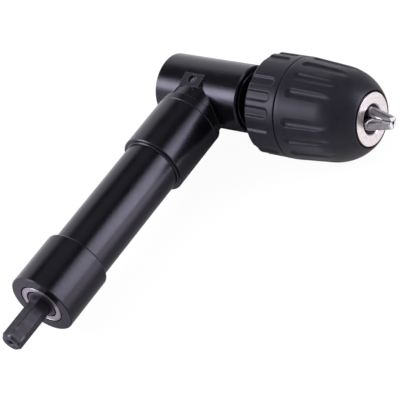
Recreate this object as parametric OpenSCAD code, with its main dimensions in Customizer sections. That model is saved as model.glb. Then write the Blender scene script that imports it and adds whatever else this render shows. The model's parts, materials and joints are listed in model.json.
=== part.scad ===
// Right angle drill attachment: a hexagonal shank drives a shaft along the leg, a pair of
// bevel gears turns the drive through 90 degrees in the head, and the output spindle
// carries a keyless three-jaw chuck.
// The origin is the centre of the rear cap's end face. The leg lies along Y with the shank
// pointing to -Y, the chuck points to +X, and +Z is the side with the grease port.

/* [Shank and rear cap] */
// Size of the hexagonal shank across its flats
hex_af = 8; // [6.35:0.05:8.2]
// Length of the shank that stands out of the rear cap
shank_len = 20.2; // [14:0.1:40]
// Turn of the hexagon about its own axis at rest
shank_turn = 7.5; // [0:0.5:60]
// Chamfer on the free end of the shank
shank_chamfer = 1; // [0.3:0.1:1.5]
// Wall of the rear cap where it grips the tube
cap_wall = 1.95; // [1.5:0.05:4]
// Length of the rear cap
cap_len = 24.45; // [22:0.05:34]

/* [Tube and neck] */
// Outside diameter of the main tube
tube_d = 24.1; // [23.6:0.1:24.4]
// Wall of the main tube
tube_wall = 2.3; // [1.5:0.1:3]
// Length of tube that shows between the neck sleeve and the rear cap
tube_show = 53.85; // [20:0.05:120]
// Wall of the neck sleeve, which also sets the height of the head's flange
neck_wall = 1.9; // [1.5:0.05:4]
// Length of the neck sleeve
neck_len = 25.4; // [24:0.1:40]

/* [Head] */
// Outside diameter of the gear head
head_d = 28.2; // [27.6:0.1:32]
// Distance from the leg's axis to the head's closed end
head_back = 18.9; // [18.9:0.1:24]
// Distance from the leg's axis to the head's open end
head_front = 23.1; // [22.6:0.1:28]
// Outside diameter of the stub between the head and its flange
stub_d = 25; // [24.4:0.1:26]
// Distance from the chuck axis to the near side of the flange
flange_s = 15.5; // [15.3:0.1:17]
// Thickness of the flange
flange_t = 4; // [2:0.1:8]

/* [Grease port] */
// Width of the boss round the grease port
boss_w = 9.8; // [7:0.1:12]
// Length of the boss from the port towards the chuck
boss_back = 2.7; // [2.3:0.1:3.5]
// Length of the boss from the port towards the shank
boss_front = 3.6; // [2.6:0.1:4.5]
// Distance from the chuck axis to the centre of the port
port_s = 6.6; // [5.5:0.1:7.5]
// Height of the boss over the chuck axis at the port
port_z = 13.3; // [13.1:0.1:14.2]
// Tilt of the boss towards the shank
port_tilt = 14; // [10:1:24]
// Diameter of the port and its screw
port_d = 4; // [3:0.1:4.4]

/* [Gears] */
// Number of teeth on the pinion, and on the gear
gear_teeth = 12; // [12:4:16]
// Pitch diameter of both bevel gears
gear_pitch_d = 16.8; // [15.6:0.1:17]
// Face width of the teeth
gear_face = 4.2; // [3:0.1:4.6]
// Free play between the teeth on the pitch circle
gear_play = 0.2; // [0.1:0.01:0.3]

/* [Bearings of the input shaft] */
// Bore of the shaft bearings
shaft_brg_d = 10; // [9.6:0.1:10.4]
// Outside diameter of the shaft bearings
shaft_brg_od = 19; // [18.6:0.1:19.2]
// Width of the shaft bearings
shaft_brg_w = 5; // [4:0.1:5.5]
// Gap between the two bearings behind the pinion
brg_gap = 7; // [4:0.1:9]

/* [Bearings of the spindle] */
// Bore of the rear spindle bearing
rear_brg_d = 8; // [7:0.1:8.2]
// Width of the rear spindle bearing
rear_brg_w = 7; // [5:0.1:7]
// Bore of the front spindle bearing
front_brg_d = 10; // [9:0.1:10.4]
// Width of the front spindle bearing
front_brg_w = 6; // [5:0.1:6]
// Outside diameter of both spindle bearings
spindle_brg_od = 22; // [21.4:0.1:22.4]

/* [Chuck] */
// Distance from the leg's axis to the back of the rear sleeve
chuck_x = 32.9; // [32.3:0.1:36]
// Largest diameter of the chuck
chuck_d = 41.6; // [41:0.1:46]
// Length of the rear sleeve
rear_sleeve_len = 14.3; // [13.5:0.1:15]
// Length of the front sleeve
front_sleeve_len = 32.6; // [32:0.1:33]
// Wall of the rear sleeve round the chuck body's flange
sleeve_wall = 3; // [1.5:0.1:4]
// How much the front sleeve's radius falls before its dome starts
sleeve_fall = 1.45; // [0.5:0.05:2]
// Diameter of the spindle's thread
thread_d = 9.5; // [8:0.1:10]
// Diameter of the nose ring
nose_d = 22.4; // [21:0.1:23]
// Diameter of the hole in the nose ring
nose_hole_d = 12.2; // [12:0.1:13]

/* [Jaws] */
// Diameter of a jaw
jaw_d = 5.4; // [5:0.1:5.6]
// Slope of the jaws against the chuck axis
jaw_slope = 15.5; // [15:0.1:16]
// Distance that the closed jaws stand out of the nose ring
jaw_out = 9.6; // [8:0.1:11]
// Radius of the closed jaws at their tips
jaw_tip_r = 2.3; // [1.6:0.1:2.4]
// Largest opening of the jaws
jaw_open = 10; // [6:0.5:10]
// Turn of the chuck about its own axis at rest
chuck_turn = 5.5; // [0:0.5:120]

/* [Hidden] */
$fn = 64;

// Radial clearance of the fits that stay still, and of the fits that run
slip = 0.02;
run = 0.05;
// Clearance between pieces that pass each other, and between the jaws' rods and the nut
pass = 0.35;
thread_gap = 0.3;
// Small overlap that makes a cut go clean through a face
cut = 0.5;

// Outside diameters of the rear cap, and of the neck sleeve and the flange
cap_d = tube_d + 2 * cap_wall;
neck_d = tube_d + 2 * neck_wall;

// Places along the leg, as distances from the chuck axis
neck_s = flange_s + flange_t;
tube_s = neck_s + neck_len;
cap_s = tube_s + tube_show;
reach = cap_s + cap_len;
pinion_brg_s = flange_s - 0.5;
far_brg_s = pinion_brg_s + shaft_brg_w + brg_gap;
circlip_t = 1;
circlip_s = far_brg_s + shaft_brg_w;
spigot_s = circlip_s + circlip_t + 1.5;
cap_grip = 14;
tube_end_s = cap_s + cap_grip;
rear_brg_s = reach - shaft_brg_w;

// Sizes of the shaft and of what sits on it
shaft_shoulder_d = shaft_brg_d + 2.4;
shaft_mid_d = 9;
centre_hole_r = 1.2;
centre_hole_deep = 2.2;
centre_hole_rim = 0.3;
pin_d = 2;
pin_end = 0.3;
lip_t = 1.5;
spacer_wall = 1;
shield_t = 0.35;
shield_depth = 0.45;
shield_seat_r = shaft_brg_od / 2 - race_wall(shaft_brg_d, shaft_brg_od) + 0.3;
shield_hole_r = shaft_brg_d / 2 + race_wall(shaft_brg_d, shaft_brg_od) + pass;

// Bevel gears: the two axes cross at right angles and the pitch cones are alike
pitch_r = gear_pitch_d / 2;
cone_r = pitch_r * sqrt(2);
gear_module = gear_pitch_d / gear_teeth;
tooth_top = 0.95 * gear_module;
tooth_root = 1.2 * gear_module;
small_end = (cone_r - gear_face) / cone_r;
tip_r = pitch_r + tooth_top * cos(45);
hub_d = 12.4;
gear_bore_d = 8;

// Head: the cavity for the gears, the bearing seats and the ends
cavity_r = tip_r + 0.7;
stub_bore_r = tip_r + 0.45;
rear_seat_x = -(cavity_r - 0.05);
plug_t = head_back + rear_seat_x - rear_brg_w;
plug_r = spindle_brg_od / 2 + 1;
plug_relief = 0.5;
spanner_hole_r = 1.1;
spanner_hole_at = plug_r - 4.5;
spanner_hole_deep = 1;
collar_t = 3.1;
front_seat_x = head_front - collar_t - front_brg_w;
collar_x = front_seat_x + front_brg_w;
collar_r = spindle_brg_od / 2 + 0.6;
spindle_flange_r = 7;
flat_half = 6.3;

// Places along the chuck axis, as distances from the leg's axis
joint_x = chuck_x + rear_sleeve_len;
sleeve_gap = 0.15;
front_x = joint_x + sleeve_gap;
nose_x = front_x + front_sleeve_len;
ring_proud = 0.4;
ring_x = nose_x + ring_proud;
jaw_tip_x = ring_x + jaw_out;
body_x = chuck_x - 5.9;
body_flange_x = chuck_x + 2.2;
nut_x = joint_x + 8.6;
nut_t = 5.2;
thrust_x = nut_x - 0.8;
washer_x = nut_x - 2.8;
guide_x = nut_x + nut_t + 0.6;
nose_step_x = ring_x - 8.3;
ring_lip_t = 1.8;
ring_t = 3.3;

thread_len = 16;
screw_head_x = body_x + thread_len + 3.5;
screw_head_t = 3;
screw_tip_x = body_x + 6;

// Radii in the chuck
chuck_r = chuck_d / 2;
body_hub_r = 10.5;
body_flange_r = chuck_r - sleeve_wall;
body_flange_t = 7;
band_r = chuck_r - 4;
band_wall = 1.8;
nut_r = band_r - band_wall;
body_core_r = nut_r;
body_slot_r = 9.3;
guide_r = nut_r - 2.2;
body_nose_r = 9;
sleeve_r = band_r + 0.1;
sleeve_throat_r = sleeve_r - 0.5;
sleeve_web_r = nose_d / 2 + 1;
sleeve_web_t = 2;
washer_t = 1.2;
thrust_r = nut_r - 1.05;
thrust_ball_r = 1;
thrust_count = 32;
screw_head_r = 4.2;
screw_r = 2.5;
tool_bore_r = jaw_open / 2 + 0.1;

// Outline of the front sleeve: a slight taper, then an arc down to the nose
dome_r = chuck_r - sleeve_fall;
dome_x = front_x + 18.2;
dome_end_r = nose_d / 2 + 0.9;
taper_from = 1.5;
taper = atan((chuck_r - dome_r) / (dome_x - front_x - taper_from));
dome_dx = nose_x - dome_x;
dome_dr = dome_r - dome_end_r;
dome_arc_r = (dome_dx * dome_dx + dome_dr * dome_dr)
    / (2 * (dome_dr * cos(taper) - dome_dx * sin(taper)));
dome_c = [dome_x - dome_arc_r * sin(taper), dome_r - dome_arc_r * cos(taper)];
dome_turn = 2 * asin(sqrt(dome_dx * dome_dx + dome_dr * dome_dr) / 2 / dome_arc_r);

// Grip grooves of the rear sleeve: angles are measured from +Y
rear_groups = 4;
rear_grooves = 4;
rear_step = 18;
rear_turn = 137;
rear_groove_w = 3.9;
rear_groove_depth = 0.6;
rear_groove_len = 11.5;

// Grip grooves of the front sleeve, from their round rear end to where they run out
front_groups = 3;
front_grooves = 5;
front_step = 21.5;
front_turn = 75.5;
front_groove_r = 2.4;
front_groove_x = front_x + 5.75;
front_groove_run = 22;
groove_depth_back = 1.3;
groove_depth_front = 1.55;

// Jaws: each one is a rod that slides in a sloping bore and crosses the chuck axis
jaw_r = jaw_d / 2;
jaw_travel = jaw_open / 2 / sin(jaw_slope);
jaw_back_x = nut_x - 0.3;
jaw_turns = [60, 180, 300];
jaw_chamfer = 0.5;
jaw_chamfer_r = 0.4;
jaw_thread_pitch = 2;
jaw_thread_rows = 8;
jaw_thread_depth = 0.5;
// Point where a rod's own axis meets the chuck axis
jaw_full_r = jaw_tip_r + jaw_chamfer_r;
jaw_cross_x = jaw_tip_x - jaw_chamfer + (jaw_full_r - jaw_r / cos(jaw_slope)) / tan(jaw_slope);

// Points of an arc from angle a0 to angle a1, in n steps
function arc(c, r, a0, a1, n) =
    [for (i = [0 : n]) [c[0] + r * cos(a0 + (a1 - a0) * i / n), c[1] + r * sin(a0 + (a1 - a0) * i / n)]];

// Radius of a rod's outer side at a place along the chuck axis
function rod_outer(x) = (jaw_cross_x - x) * tan(jaw_slope) + jaw_r / cos(jaw_slope);

// Local Z runs down the leg from the chuck axis, and local X is the chuck's side
module along_leg(s = 0) {
    translate([0, reach - s, 0]) rotate([90, 0, 0]) children();
}

// Local Z runs along the chuck axis from the leg's axis, and angles start at +Y
module along_chuck(x = 0) {
    translate([x, reach, 0]) rotate([90, 0, 90]) children();
}

// Round bar with a chamfer at each end
module bar(r, h, c0 = 0, c1 = 0) {
    rotate_extrude()
        polygon([[0, 0], [r - c0, 0], [r, c0], [r, h - c1], [r - c1, h], [0, h]]);
}

// Ring with a chamfer on each outer edge
module ring(r_in, r_out, h, c0 = 0, c1 = 0) {
    rotate_extrude()
        polygon([
            [r_in, 0], [r_out - c0, 0], [r_out, c0],
            [r_out, h - c1], [r_out - c1, h], [r_in, h]
        ]);
}

// Ball bearing, in parts. The race's wall and the ball follow from the bore and the outside.
function race_wall(d, od) = 0.27 * (od - d) / 2;
function ball_r(d, od) = 0.31 * (od - d) / 2;
function ball_pitch_r(d, od) = (od + d) / 4;
function ball_count(d, od) = floor(PI * ball_pitch_r(d, od) / (ball_r(d, od) * 1.45));

// Groove that the balls run in
module ball_groove(d, od, w) {
    translate([0, 0, w / 2]) rotate_extrude()
        translate([ball_pitch_r(d, od), 0]) circle(ball_r(d, od) + run);
}

module outer_race(d, od, w) {
    difference() {
        ring(od / 2 - race_wall(d, od), od / 2 - slip, w, 0.4, 0.4);
        ball_groove(d, od, w);
    }
}

module inner_race(d, od, w) {
    difference() {
        ring(d / 2, d / 2 + race_wall(d, od), w);
        ball_groove(d, od, w);
    }
}

// Places of the balls round a bearing
module at_balls(d, od, w) {
    count = ball_count(d, od);
    for (i = [0 : count - 1])
        rotate([0, 0, 360 * i / count]) translate([ball_pitch_r(d, od), 0, w / 2]) children();
}

module balls(d, od, w) {
    at_balls(d, od, w) sphere(ball_r(d, od));
}

// Ring with a pocket for each ball
module cage(d, od, w) {
    pitch = ball_pitch_r(d, od);
    half = 0.12 * (od - d) / 2;
    tall = 2 * ball_r(d, od) + 1.2;
    difference() {
        translate([0, 0, w / 2 - tall / 2]) ring(pitch - half, pitch + half, tall);
        at_balls(d, od, w) rotate([0, 90, 0])
            cylinder(r = ball_r(d, od) + 0.08, h = 4 * half, center = true);
    }
}

// Half of the angle between the flanks of a tooth at radius rho of the equivalent spur gear.
// The flanks are involutes of a circle with a pressure angle of 20 degrees.
function involute(a) = tan(a) * 180 / PI - a;
function half_tooth(rho) =
    let (
        base = cone_r * cos(20),
        at = acos(base / max(rho, base)),
        play = gear_play / cone_r * 90 / PI
    )
    (90 / gear_teeth * cos(45) - play / 2 + involute(20) - involute(at)) / cos(45);

// Corner of a tooth gap: rho on the back cone, on one side, scaled towards the cones' apex
function gap_corner(rho, side, k) =
    let (
        r = pitch_r + (rho - cone_r) * cos(45),
        turn = side * (180 / gear_teeth - half_tooth(rho))
    )
    [k * r * cos(turn), k * r * sin(turn), k * (pitch_r - (rho - cone_r) * sin(45))];

// Tooth gap: the tapered space between two flanks. It ends past the blank at both ends.
module tooth_gap() {
    steps = 5;
    low = cone_r - tooth_root;
    high = cone_r + tooth_top + 0.6;
    rhos = [for (i = [0 : steps]) low + (high - low) * i / steps];
    n = steps + 1;
    big = 1.12;
    small = small_end - 0.12;
    corners = concat(
        [for (rho = rhos) gap_corner(rho, -1, big)],
        [for (rho = rhos) gap_corner(rho, 1, big)],
        [for (rho = rhos) gap_corner(rho, -1, small)],
        [for (rho = rhos) gap_corner(rho, 1, small)]
    );
    faces = concat(
        [for (i = [0 : steps - 1]) [n + i, n + i + 1, i + 1, i]],
        [for (i = [0 : steps - 1]) [2 * n + i + 1, 3 * n + i + 1, 3 * n + i, 2 * n + i]],
        [for (i = [0 : steps - 1]) [i + 1, 2 * n + i + 1, 2 * n + i, i]],
        [for (i = [0 : steps - 1]) [3 * n + i, 3 * n + i + 1, n + i + 1, n + i]],
        [[2 * n, 3 * n, n, 0]],
        [[n + steps, 3 * n + steps, 2 * n + steps, steps]]
    );
    polyhedron(corners, faces);
}

// Bevel gear on local Z with its cones' apex at the origin, and a gap or a tooth at angle 0
module bevel_gear(hub_end, gap_first) {
    rim = tooth_root + 1.3;
    back_r = pitch_r - rim * cos(45);
    back_z = pitch_r + rim * sin(45);
    top_z = pitch_r - tooth_top * sin(45);
    difference() {
        rotate_extrude()
            polygon([
                [gear_bore_d / 2, small_end * (pitch_r + rim * 0.5)],
                [small_end * (pitch_r - rim * 0.5), small_end * (pitch_r + rim * 0.5)],
                [small_end * tip_r, small_end * top_z],
                [tip_r, top_z],
                [back_r, back_z],
                [hub_d / 2, back_z],
                [hub_d / 2, hub_end],
                [gear_bore_d / 2, hub_end]
            ]);
        for (i = [0 : gear_teeth - 1])
            rotate([0, 0, 360 / gear_teeth * (i + (gap_first ? 0 : 0.5))]) tooth_gap();
        translate([0, 0, (back_z + hub_end) / 2]) rotate([90, 0, 0])
            cylinder(r = pin_d / 2, h = 2 * hub_d, center = true);
    }
}

// Place of the pin through a gear's hub
function hub_pin_z(hub_end) = (pitch_r + (tooth_root + 1.3) * sin(45) + hub_end) / 2;

// Boss for the grease port: local Z is the port's axis, and the origin is its mouth
module at_port() {
    translate([0, reach - port_s, port_z]) rotate([port_tilt, 0, 0]) children();
}

module head_housing() {
    color("#1d1c20") difference() {
        union() {
            along_chuck(-head_back) bar(head_d / 2, head_back + head_front, 0.4, 0.5);
            along_leg() cylinder(r = stub_d / 2, h = flange_s + 1);
            along_leg(flange_s) bar(neck_d / 2, flange_t, 0.5, 0.2);
            along_leg(neck_s - 1) bar(tube_d / 2, spigot_s - neck_s + 1, 0, 0.5);
            at_port() translate([-boss_w / 2, -boss_front, -5]) cube([boss_w, boss_front + boss_back, 5]);
        }
        along_chuck(-head_back - cut) cylinder(r = plug_r + slip, h = plug_t + cut);
        along_chuck(-head_back) cylinder(r = spindle_brg_od / 2, h = plug_t + rear_brg_w);
        along_chuck(rear_seat_x - cut) cylinder(r = cavity_r, h = front_seat_x - rear_seat_x + 2 * cut);
        along_chuck(front_seat_x) cylinder(r = spindle_brg_od / 2, h = front_brg_w + cut);
        along_chuck(collar_x) cylinder(r = collar_r + slip, h = head_front - collar_x + cut);
        along_leg() cylinder(r = stub_bore_r, h = pinion_brg_s - lip_t);
        along_leg() cylinder(r = hub_d / 2 + 1, h = pinion_brg_s + cut);
        along_leg(pinion_brg_s) cylinder(r = shaft_brg_od / 2, h = spigot_s - pinion_brg_s + cut);
        along_leg(circlip_s) cylinder(r = shaft_brg_od / 2 + 0.5, h = circlip_t + 0.05);
        at_port() translate([0, 0, -7]) cylinder(r = port_d / 2 + slip, h = 8);
    }
}

// Plug that closes the head. Its rim presses on the rear bearing's outer race.
module head_end_plug() {
    color("#232226") along_chuck(-head_back) difference() {
        bar(plug_r, plug_t, 0.3, 0);
        translate([0, 0, plug_t - plug_relief]) cylinder(r = spindle_brg_od / 2 - 2, h = plug_relief + cut);
        for (side = [-1, 1])
            translate([side * spanner_hole_at, 0, -cut])
                cylinder(r = spanner_hole_r, h = cut + spanner_hole_deep);
    }
}

// Threaded collar that holds the front bearing in the head
module front_collar() {
    color("#232226") along_chuck(collar_x)
        ring(spindle_flange_r + pass, collar_r, head_front - collar_x, 0, 0.4);
}

// Socket set screw that closes the grease port
module port_screw() {
    depth = 2.75;
    sunk = 1;
    socket_depth = 1.4;
    color("#3a3940") at_port() translate([0, 0, -sunk - depth]) difference() {
        bar(port_d / 2 - slip, depth, 0.4, 0.3);
        translate([0, 0, depth - socket_depth])
            cylinder(r = port_d / 4 / cos(30), h = socket_depth + cut, $fn = 6);
    }
}

module neck_sleeve() {
    color("#1d1c20") along_leg(neck_s)
        ring(tube_d / 2 + slip, neck_d / 2, neck_len, 0.2, 0.3);
}

module main_tube() {
    color("#1f1e22") along_leg(spigot_s)
        ring(tube_d / 2 - tube_wall, tube_d / 2, tube_end_s - spigot_s);
}

// Cap that joins the tube to the rear bearing
module rear_cap() {
    color("#1d1c20") along_leg(cap_s) difference() {
        bar(cap_d / 2, cap_len, 0.8, 0.5);
        translate([0, 0, -cut]) cylinder(r = tube_d / 2 + slip, h = cap_grip + cut);
        cylinder(r = shaft_brg_od / 2 - 1, h = cap_len);
        translate([0, 0, cap_len - shaft_brg_w]) cylinder(r = shaft_brg_od / 2, h = shaft_brg_w + cut);
        translate([0, 0, cap_len - 0.4])
            cylinder(r1 = shaft_brg_od / 2, r2 = shaft_brg_od / 2 + 0.8, h = 0.8);
    }
}

// Open ring in a groove, with an eye at each end for pliers
module pinion_bearing_circlip() {
    r_out = shaft_brg_od / 2 + 0.4;
    eye_r = 1.1;
    eye_at = shaft_brg_od / 2 - 1.7;
    open_angle = 24;
    color("#55545a") along_leg(circlip_s) difference() {
        union() {
            difference() {
                ring(r_out - 1.7, r_out, circlip_t);
                translate([0, 0, -cut]) linear_extrude(circlip_t + 2 * cut)
                    polygon([
                        [0, 0],
                        [2 * r_out * cos(open_angle), 2 * r_out * sin(open_angle)],
                        [2 * r_out * cos(open_angle), -2 * r_out * sin(open_angle)]
                    ]);
            }
            for (side = [-1, 1])
                rotate([0, 0, side * (open_angle + 6)]) translate([eye_at, 0, 0])
                    cylinder(r = eye_r, h = circlip_t);
        }
        for (side = [-1, 1])
            rotate([0, 0, side * (open_angle + 6)]) translate([eye_at, 0, -cut])
                cylinder(r = 0.5, h = circlip_t + 2 * cut);
    }
}

// Spacers that keep the two bearings behind the pinion apart
module outer_spacer() {
    color("#4a494f") along_leg(pinion_brg_s + shaft_brg_w)
        ring(shaft_brg_od / 2 - spacer_wall, shaft_brg_od / 2 - slip, brg_gap);
}

module inner_spacer() {
    color("#4a494f") along_leg(pinion_brg_s + shaft_brg_w)
        ring(shaft_brg_d / 2, shaft_brg_d / 2 + spacer_wall, brg_gap);
}

module rear_bearing_outer_race() {
    color("#c9c7cc") along_leg(rear_brg_s) difference() {
        outer_race(shaft_brg_d, shaft_brg_od, shaft_brg_w);
        translate([0, 0, shaft_brg_w - shield_depth])
            cylinder(r = shield_seat_r, h = shield_depth + cut);
    }
}

// Thin steel shield clipped into the rear bearing's outer race
module rear_bearing_shield() {
    color("#bfbdc3") along_leg(reach - shield_depth)
        ring(shield_hole_r, shield_seat_r - slip, shield_t);
}

module rear_bearing_inner_race() {
    color("#a9a7ad") along_leg(rear_brg_s) inner_race(shaft_brg_d, shaft_brg_od, shaft_brg_w);
}

module rear_bearing_cage() {
    color("#8d8b91") along_leg(rear_brg_s) cage(shaft_brg_d, shaft_brg_od, shaft_brg_w);
}

module rear_bearing_balls() {
    color("#d6d5da") along_leg(rear_brg_s) balls(shaft_brg_d, shaft_brg_od, shaft_brg_w);
}

module pinion_bearing_outer_races() {
    color("#c9c7cc") for (s = [pinion_brg_s, far_brg_s])
        along_leg(s) outer_race(shaft_brg_d, shaft_brg_od, shaft_brg_w);
}

module pinion_bearing_inner_races() {
    color("#a9a7ad") for (s = [pinion_brg_s, far_brg_s])
        along_leg(s) inner_race(shaft_brg_d, shaft_brg_od, shaft_brg_w);
}

module pinion_bearing_cages() {
    color("#8d8b91") for (s = [pinion_brg_s, far_brg_s])
        along_leg(s) cage(shaft_brg_d, shaft_brg_od, shaft_brg_w);
}

module pinion_bearing_balls() {
    color("#d6d5da") for (s = [pinion_brg_s, far_brg_s])
        along_leg(s) balls(shaft_brg_d, shaft_brg_od, shaft_brg_w);
}

module spindle_rear_outer_race() {
    color("#c9c7cc") along_chuck(-head_back + plug_t)
        outer_race(rear_brg_d, spindle_brg_od, rear_brg_w);
}

module spindle_rear_inner_race() {
    color("#a9a7ad") along_chuck(-head_back + plug_t)
        inner_race(rear_brg_d, spindle_brg_od, rear_brg_w);
}

module spindle_rear_cage() {
    color("#8d8b91") along_chuck(-head_back + plug_t)
        cage(rear_brg_d, spindle_brg_od, rear_brg_w);
}

module spindle_rear_balls() {
    color("#d6d5da") along_chuck(-head_back + plug_t)
        balls(rear_brg_d, spindle_brg_od, rear_brg_w);
}

module spindle_front_outer_race() {
    color("#c9c7cc") along_chuck(front_seat_x)
        outer_race(front_brg_d, spindle_brg_od, front_brg_w);
}

module spindle_front_inner_race() {
    color("#a9a7ad") along_chuck(front_seat_x)
        inner_race(front_brg_d, spindle_brg_od, front_brg_w);
}

module spindle_front_cage() {
    color("#8d8b91") along_chuck(front_seat_x)
        cage(front_brg_d, spindle_brg_od, front_brg_w);
}

module spindle_front_balls() {
    color("#d6d5da") along_chuck(front_seat_x)
        balls(front_brg_d, spindle_brg_od, front_brg_w);
}

// Shaft with the hexagonal shank at one end and the pinion's seat at the other
module input_shaft() {
    pinion_seat_s = small_end * pitch_r;
    tip_s = reach + shank_len;
    color("#3b3a40") difference() {
        union() {
            along_leg(pinion_seat_s)
                bar(gear_bore_d / 2 - slip, pinion_brg_s - pinion_seat_s + 1, 0.4, 0);
            along_leg(pinion_brg_s)
                cylinder(r = shaft_brg_d / 2 - slip, h = circlip_s - pinion_brg_s + 1);
            along_leg(circlip_s) cylinder(r = shaft_shoulder_d / 2, h = 4);
            along_leg(circlip_s + 3)
                cylinder(r = shaft_mid_d / 2, h = rear_brg_s - circlip_s - 5);
            along_leg(rear_brg_s - 3) cylinder(r = shaft_shoulder_d / 2, h = 3);
            along_leg(rear_brg_s - 1) bar(shaft_brg_d / 2 - slip, shaft_brg_w + 1, 0, 0.3);
            intersection() {
                along_leg(reach - 1) rotate([0, 0, shank_turn])
                    cylinder(r = hex_af / 2 / cos(30), h = shank_len + 1, $fn = 6);
                along_leg(reach - 1)
                    bar(hex_af / 2 / cos(30) - 0.06, shank_len + 1, 0, shank_chamfer);
            }
        }
        along_leg(tip_s - centre_hole_deep) cylinder(r = centre_hole_r, h = centre_hole_deep + cut);
        along_leg(tip_s - centre_hole_rim)
            cylinder(r1 = centre_hole_r, r2 = centre_hole_r + centre_hole_rim + cut,
                h = centre_hole_rim + cut);
        along_leg(hub_pin_z(pinion_brg_s)) rotate([90, 0, 0])
            cylinder(r = pin_d / 2, h = 2 * hub_d, center = true);
    }
}

module drive_pinion() {
    color("#6b6a70") along_leg() bevel_gear(pinion_brg_s, false);
}

// Pin through the pinion's hub and the shaft
module pinion_pin() {
    color("#8d8b91") along_leg(hub_pin_z(pinion_brg_s)) rotate([90, 0, 0])
        cylinder(r = pin_d / 2 - slip, h = hub_d - 2 * pin_end, center = true);
}

// Spindle: rear journal, gear seat, front journal, flange and the chuck's thread
module output_spindle() {
    thread_end = body_x + thread_len;
    color("#57565c") difference() {
        union() {
            along_chuck(-head_back + plug_t)
                bar(rear_brg_d / 2 - slip, front_seat_x + head_back - plug_t + 1, 0.3, 0);
            along_chuck(front_seat_x)
                cylinder(r = front_brg_d / 2 - slip, h = front_brg_w + 1);
            along_chuck(collar_x) bar(spindle_flange_r, body_x - collar_x, 0, 0.3);
            along_chuck(body_x - 1) bar(thread_d / 2, thread_end - body_x + 1, 0, 0.8);
        }
        along_chuck(screw_tip_x - 2) cylinder(r = screw_r + slip, h = thread_len);
        along_chuck(hub_pin_z(front_seat_x)) rotate([90, 0, 0])
            cylinder(r = pin_d / 2, h = 2 * hub_d, center = true);
        for (side = [-1, 1])
            along_chuck(head_front + 0.6)
                translate([side * (flat_half + spindle_flange_r / 2), 0, 1.5])
                    cube([spindle_flange_r, 3 * spindle_flange_r, 3], center = true);
    }
}

module spindle_gear() {
    color("#6b6a70") along_chuck() bevel_gear(front_seat_x, true);
}

module gear_pin() {
    color("#8d8b91") along_chuck(hub_pin_z(front_seat_x)) rotate([90, 0, 0])
        cylinder(r = pin_d / 2 - slip, h = hub_d - 2 * pin_end, center = true);
}

// Frame of a jaw's rod: local Z runs along the rod to the nose, from a place on the chuck axis
module along_jaw(turn, x) {
    along_chuck() rotate([0, 0, chuck_turn + turn]) translate([0, 0, jaw_cross_x])
        rotate([0, -jaw_slope, 0]) translate([0, 0, (x - jaw_cross_x) / cos(jaw_slope)]) children();
}

// Steel body of the chuck, with the three sloping bores of the jaws
module chuck_body() {
    bore_x = jaw_back_x - jaw_travel * cos(jaw_slope) - 0.5;
    color("#4c4b51") difference() {
        along_chuck(body_x) rotate_extrude()
            polygon([
                [0, 0],
                [body_hub_r - 0.4, 0], [body_hub_r, 0.4],
                [body_hub_r, body_flange_x - body_x],
                [body_flange_r, body_flange_x - body_x],
                [body_flange_r, body_flange_x - body_x + body_flange_t],
                [body_core_r, body_flange_x - body_x + body_flange_t],
                [body_core_r, washer_x - body_x],
                [body_slot_r, washer_x - body_x],
                [body_slot_r, guide_x - body_x],
                [guide_r, guide_x - body_x],
                [guide_r, nose_step_x - body_x - 2],
                [body_nose_r, nose_step_x - body_x],
                [body_nose_r, ring_x - ring_lip_t - body_x],
                [0, ring_x - ring_lip_t - body_x]
            ]);
        along_chuck(body_x - cut) cylinder(r = thread_d / 2 + slip, h = thread_len + 0.2 + cut);
        along_chuck(body_x) cylinder(r = screw_r + 0.3, h = screw_head_x - body_x + cut);
        along_chuck(screw_head_x) cylinder(r = tool_bore_r, h = ring_x - screw_head_x);
        for (turn = jaw_turns)
            along_jaw(turn, bore_x) cylinder(r = jaw_r + run, h = ring_x - bore_x + 6);
    }
}

// Screw inside the chuck that locks it to the spindle
module chuck_screw() {
    key_af = 3;
    color("#3a3940") difference() {
        union() {
            along_chuck(screw_tip_x) bar(screw_r, screw_head_x - screw_tip_x, 0.5, 0);
            along_chuck(screw_head_x) bar(screw_head_r, screw_head_t, 0, 0.5);
        }
        along_chuck(screw_head_x + 1.2) cylinder(r = key_af / 2 / cos(30), h = screw_head_t, $fn = 6);
    }
}

// Rear sleeve: pressed on the body's flange, with four groups of four grip grooves that
// are open to the back
module rear_sleeve() {
    half_w = rear_groove_w / 2;
    color("#2e2d33") along_chuck(chuck_x) difference() {
            rotate_extrude()
                polygon([
                    [body_hub_r + slip, 0],
                    [chuck_r - 0.7, 0], [chuck_r, 0.7],
                    [chuck_r, rear_sleeve_len - 0.35], [chuck_r - 0.35, rear_sleeve_len],
                    [body_flange_r + slip, rear_sleeve_len],
                    [body_flange_r + slip, body_flange_x - chuck_x],
                    [body_hub_r + slip, body_flange_x - chuck_x]
                ]);
            for (group = [0 : rear_groups - 1], i = [0 : rear_grooves - 1])
                rotate([0, 0, rear_turn + 360 / rear_groups * group + rear_step * (i - 1.5)])
                    translate([chuck_r - rear_groove_depth, 0, 0]) {
                        translate([0, -half_w, -cut])
                            cube([3, rear_groove_w, rear_groove_len - half_w + cut]);
                        translate([0, 0, rear_groove_len - half_w]) rotate([0, 90, 0])
                            cylinder(r = half_w, h = 3);
                    }
    }
}

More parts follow.
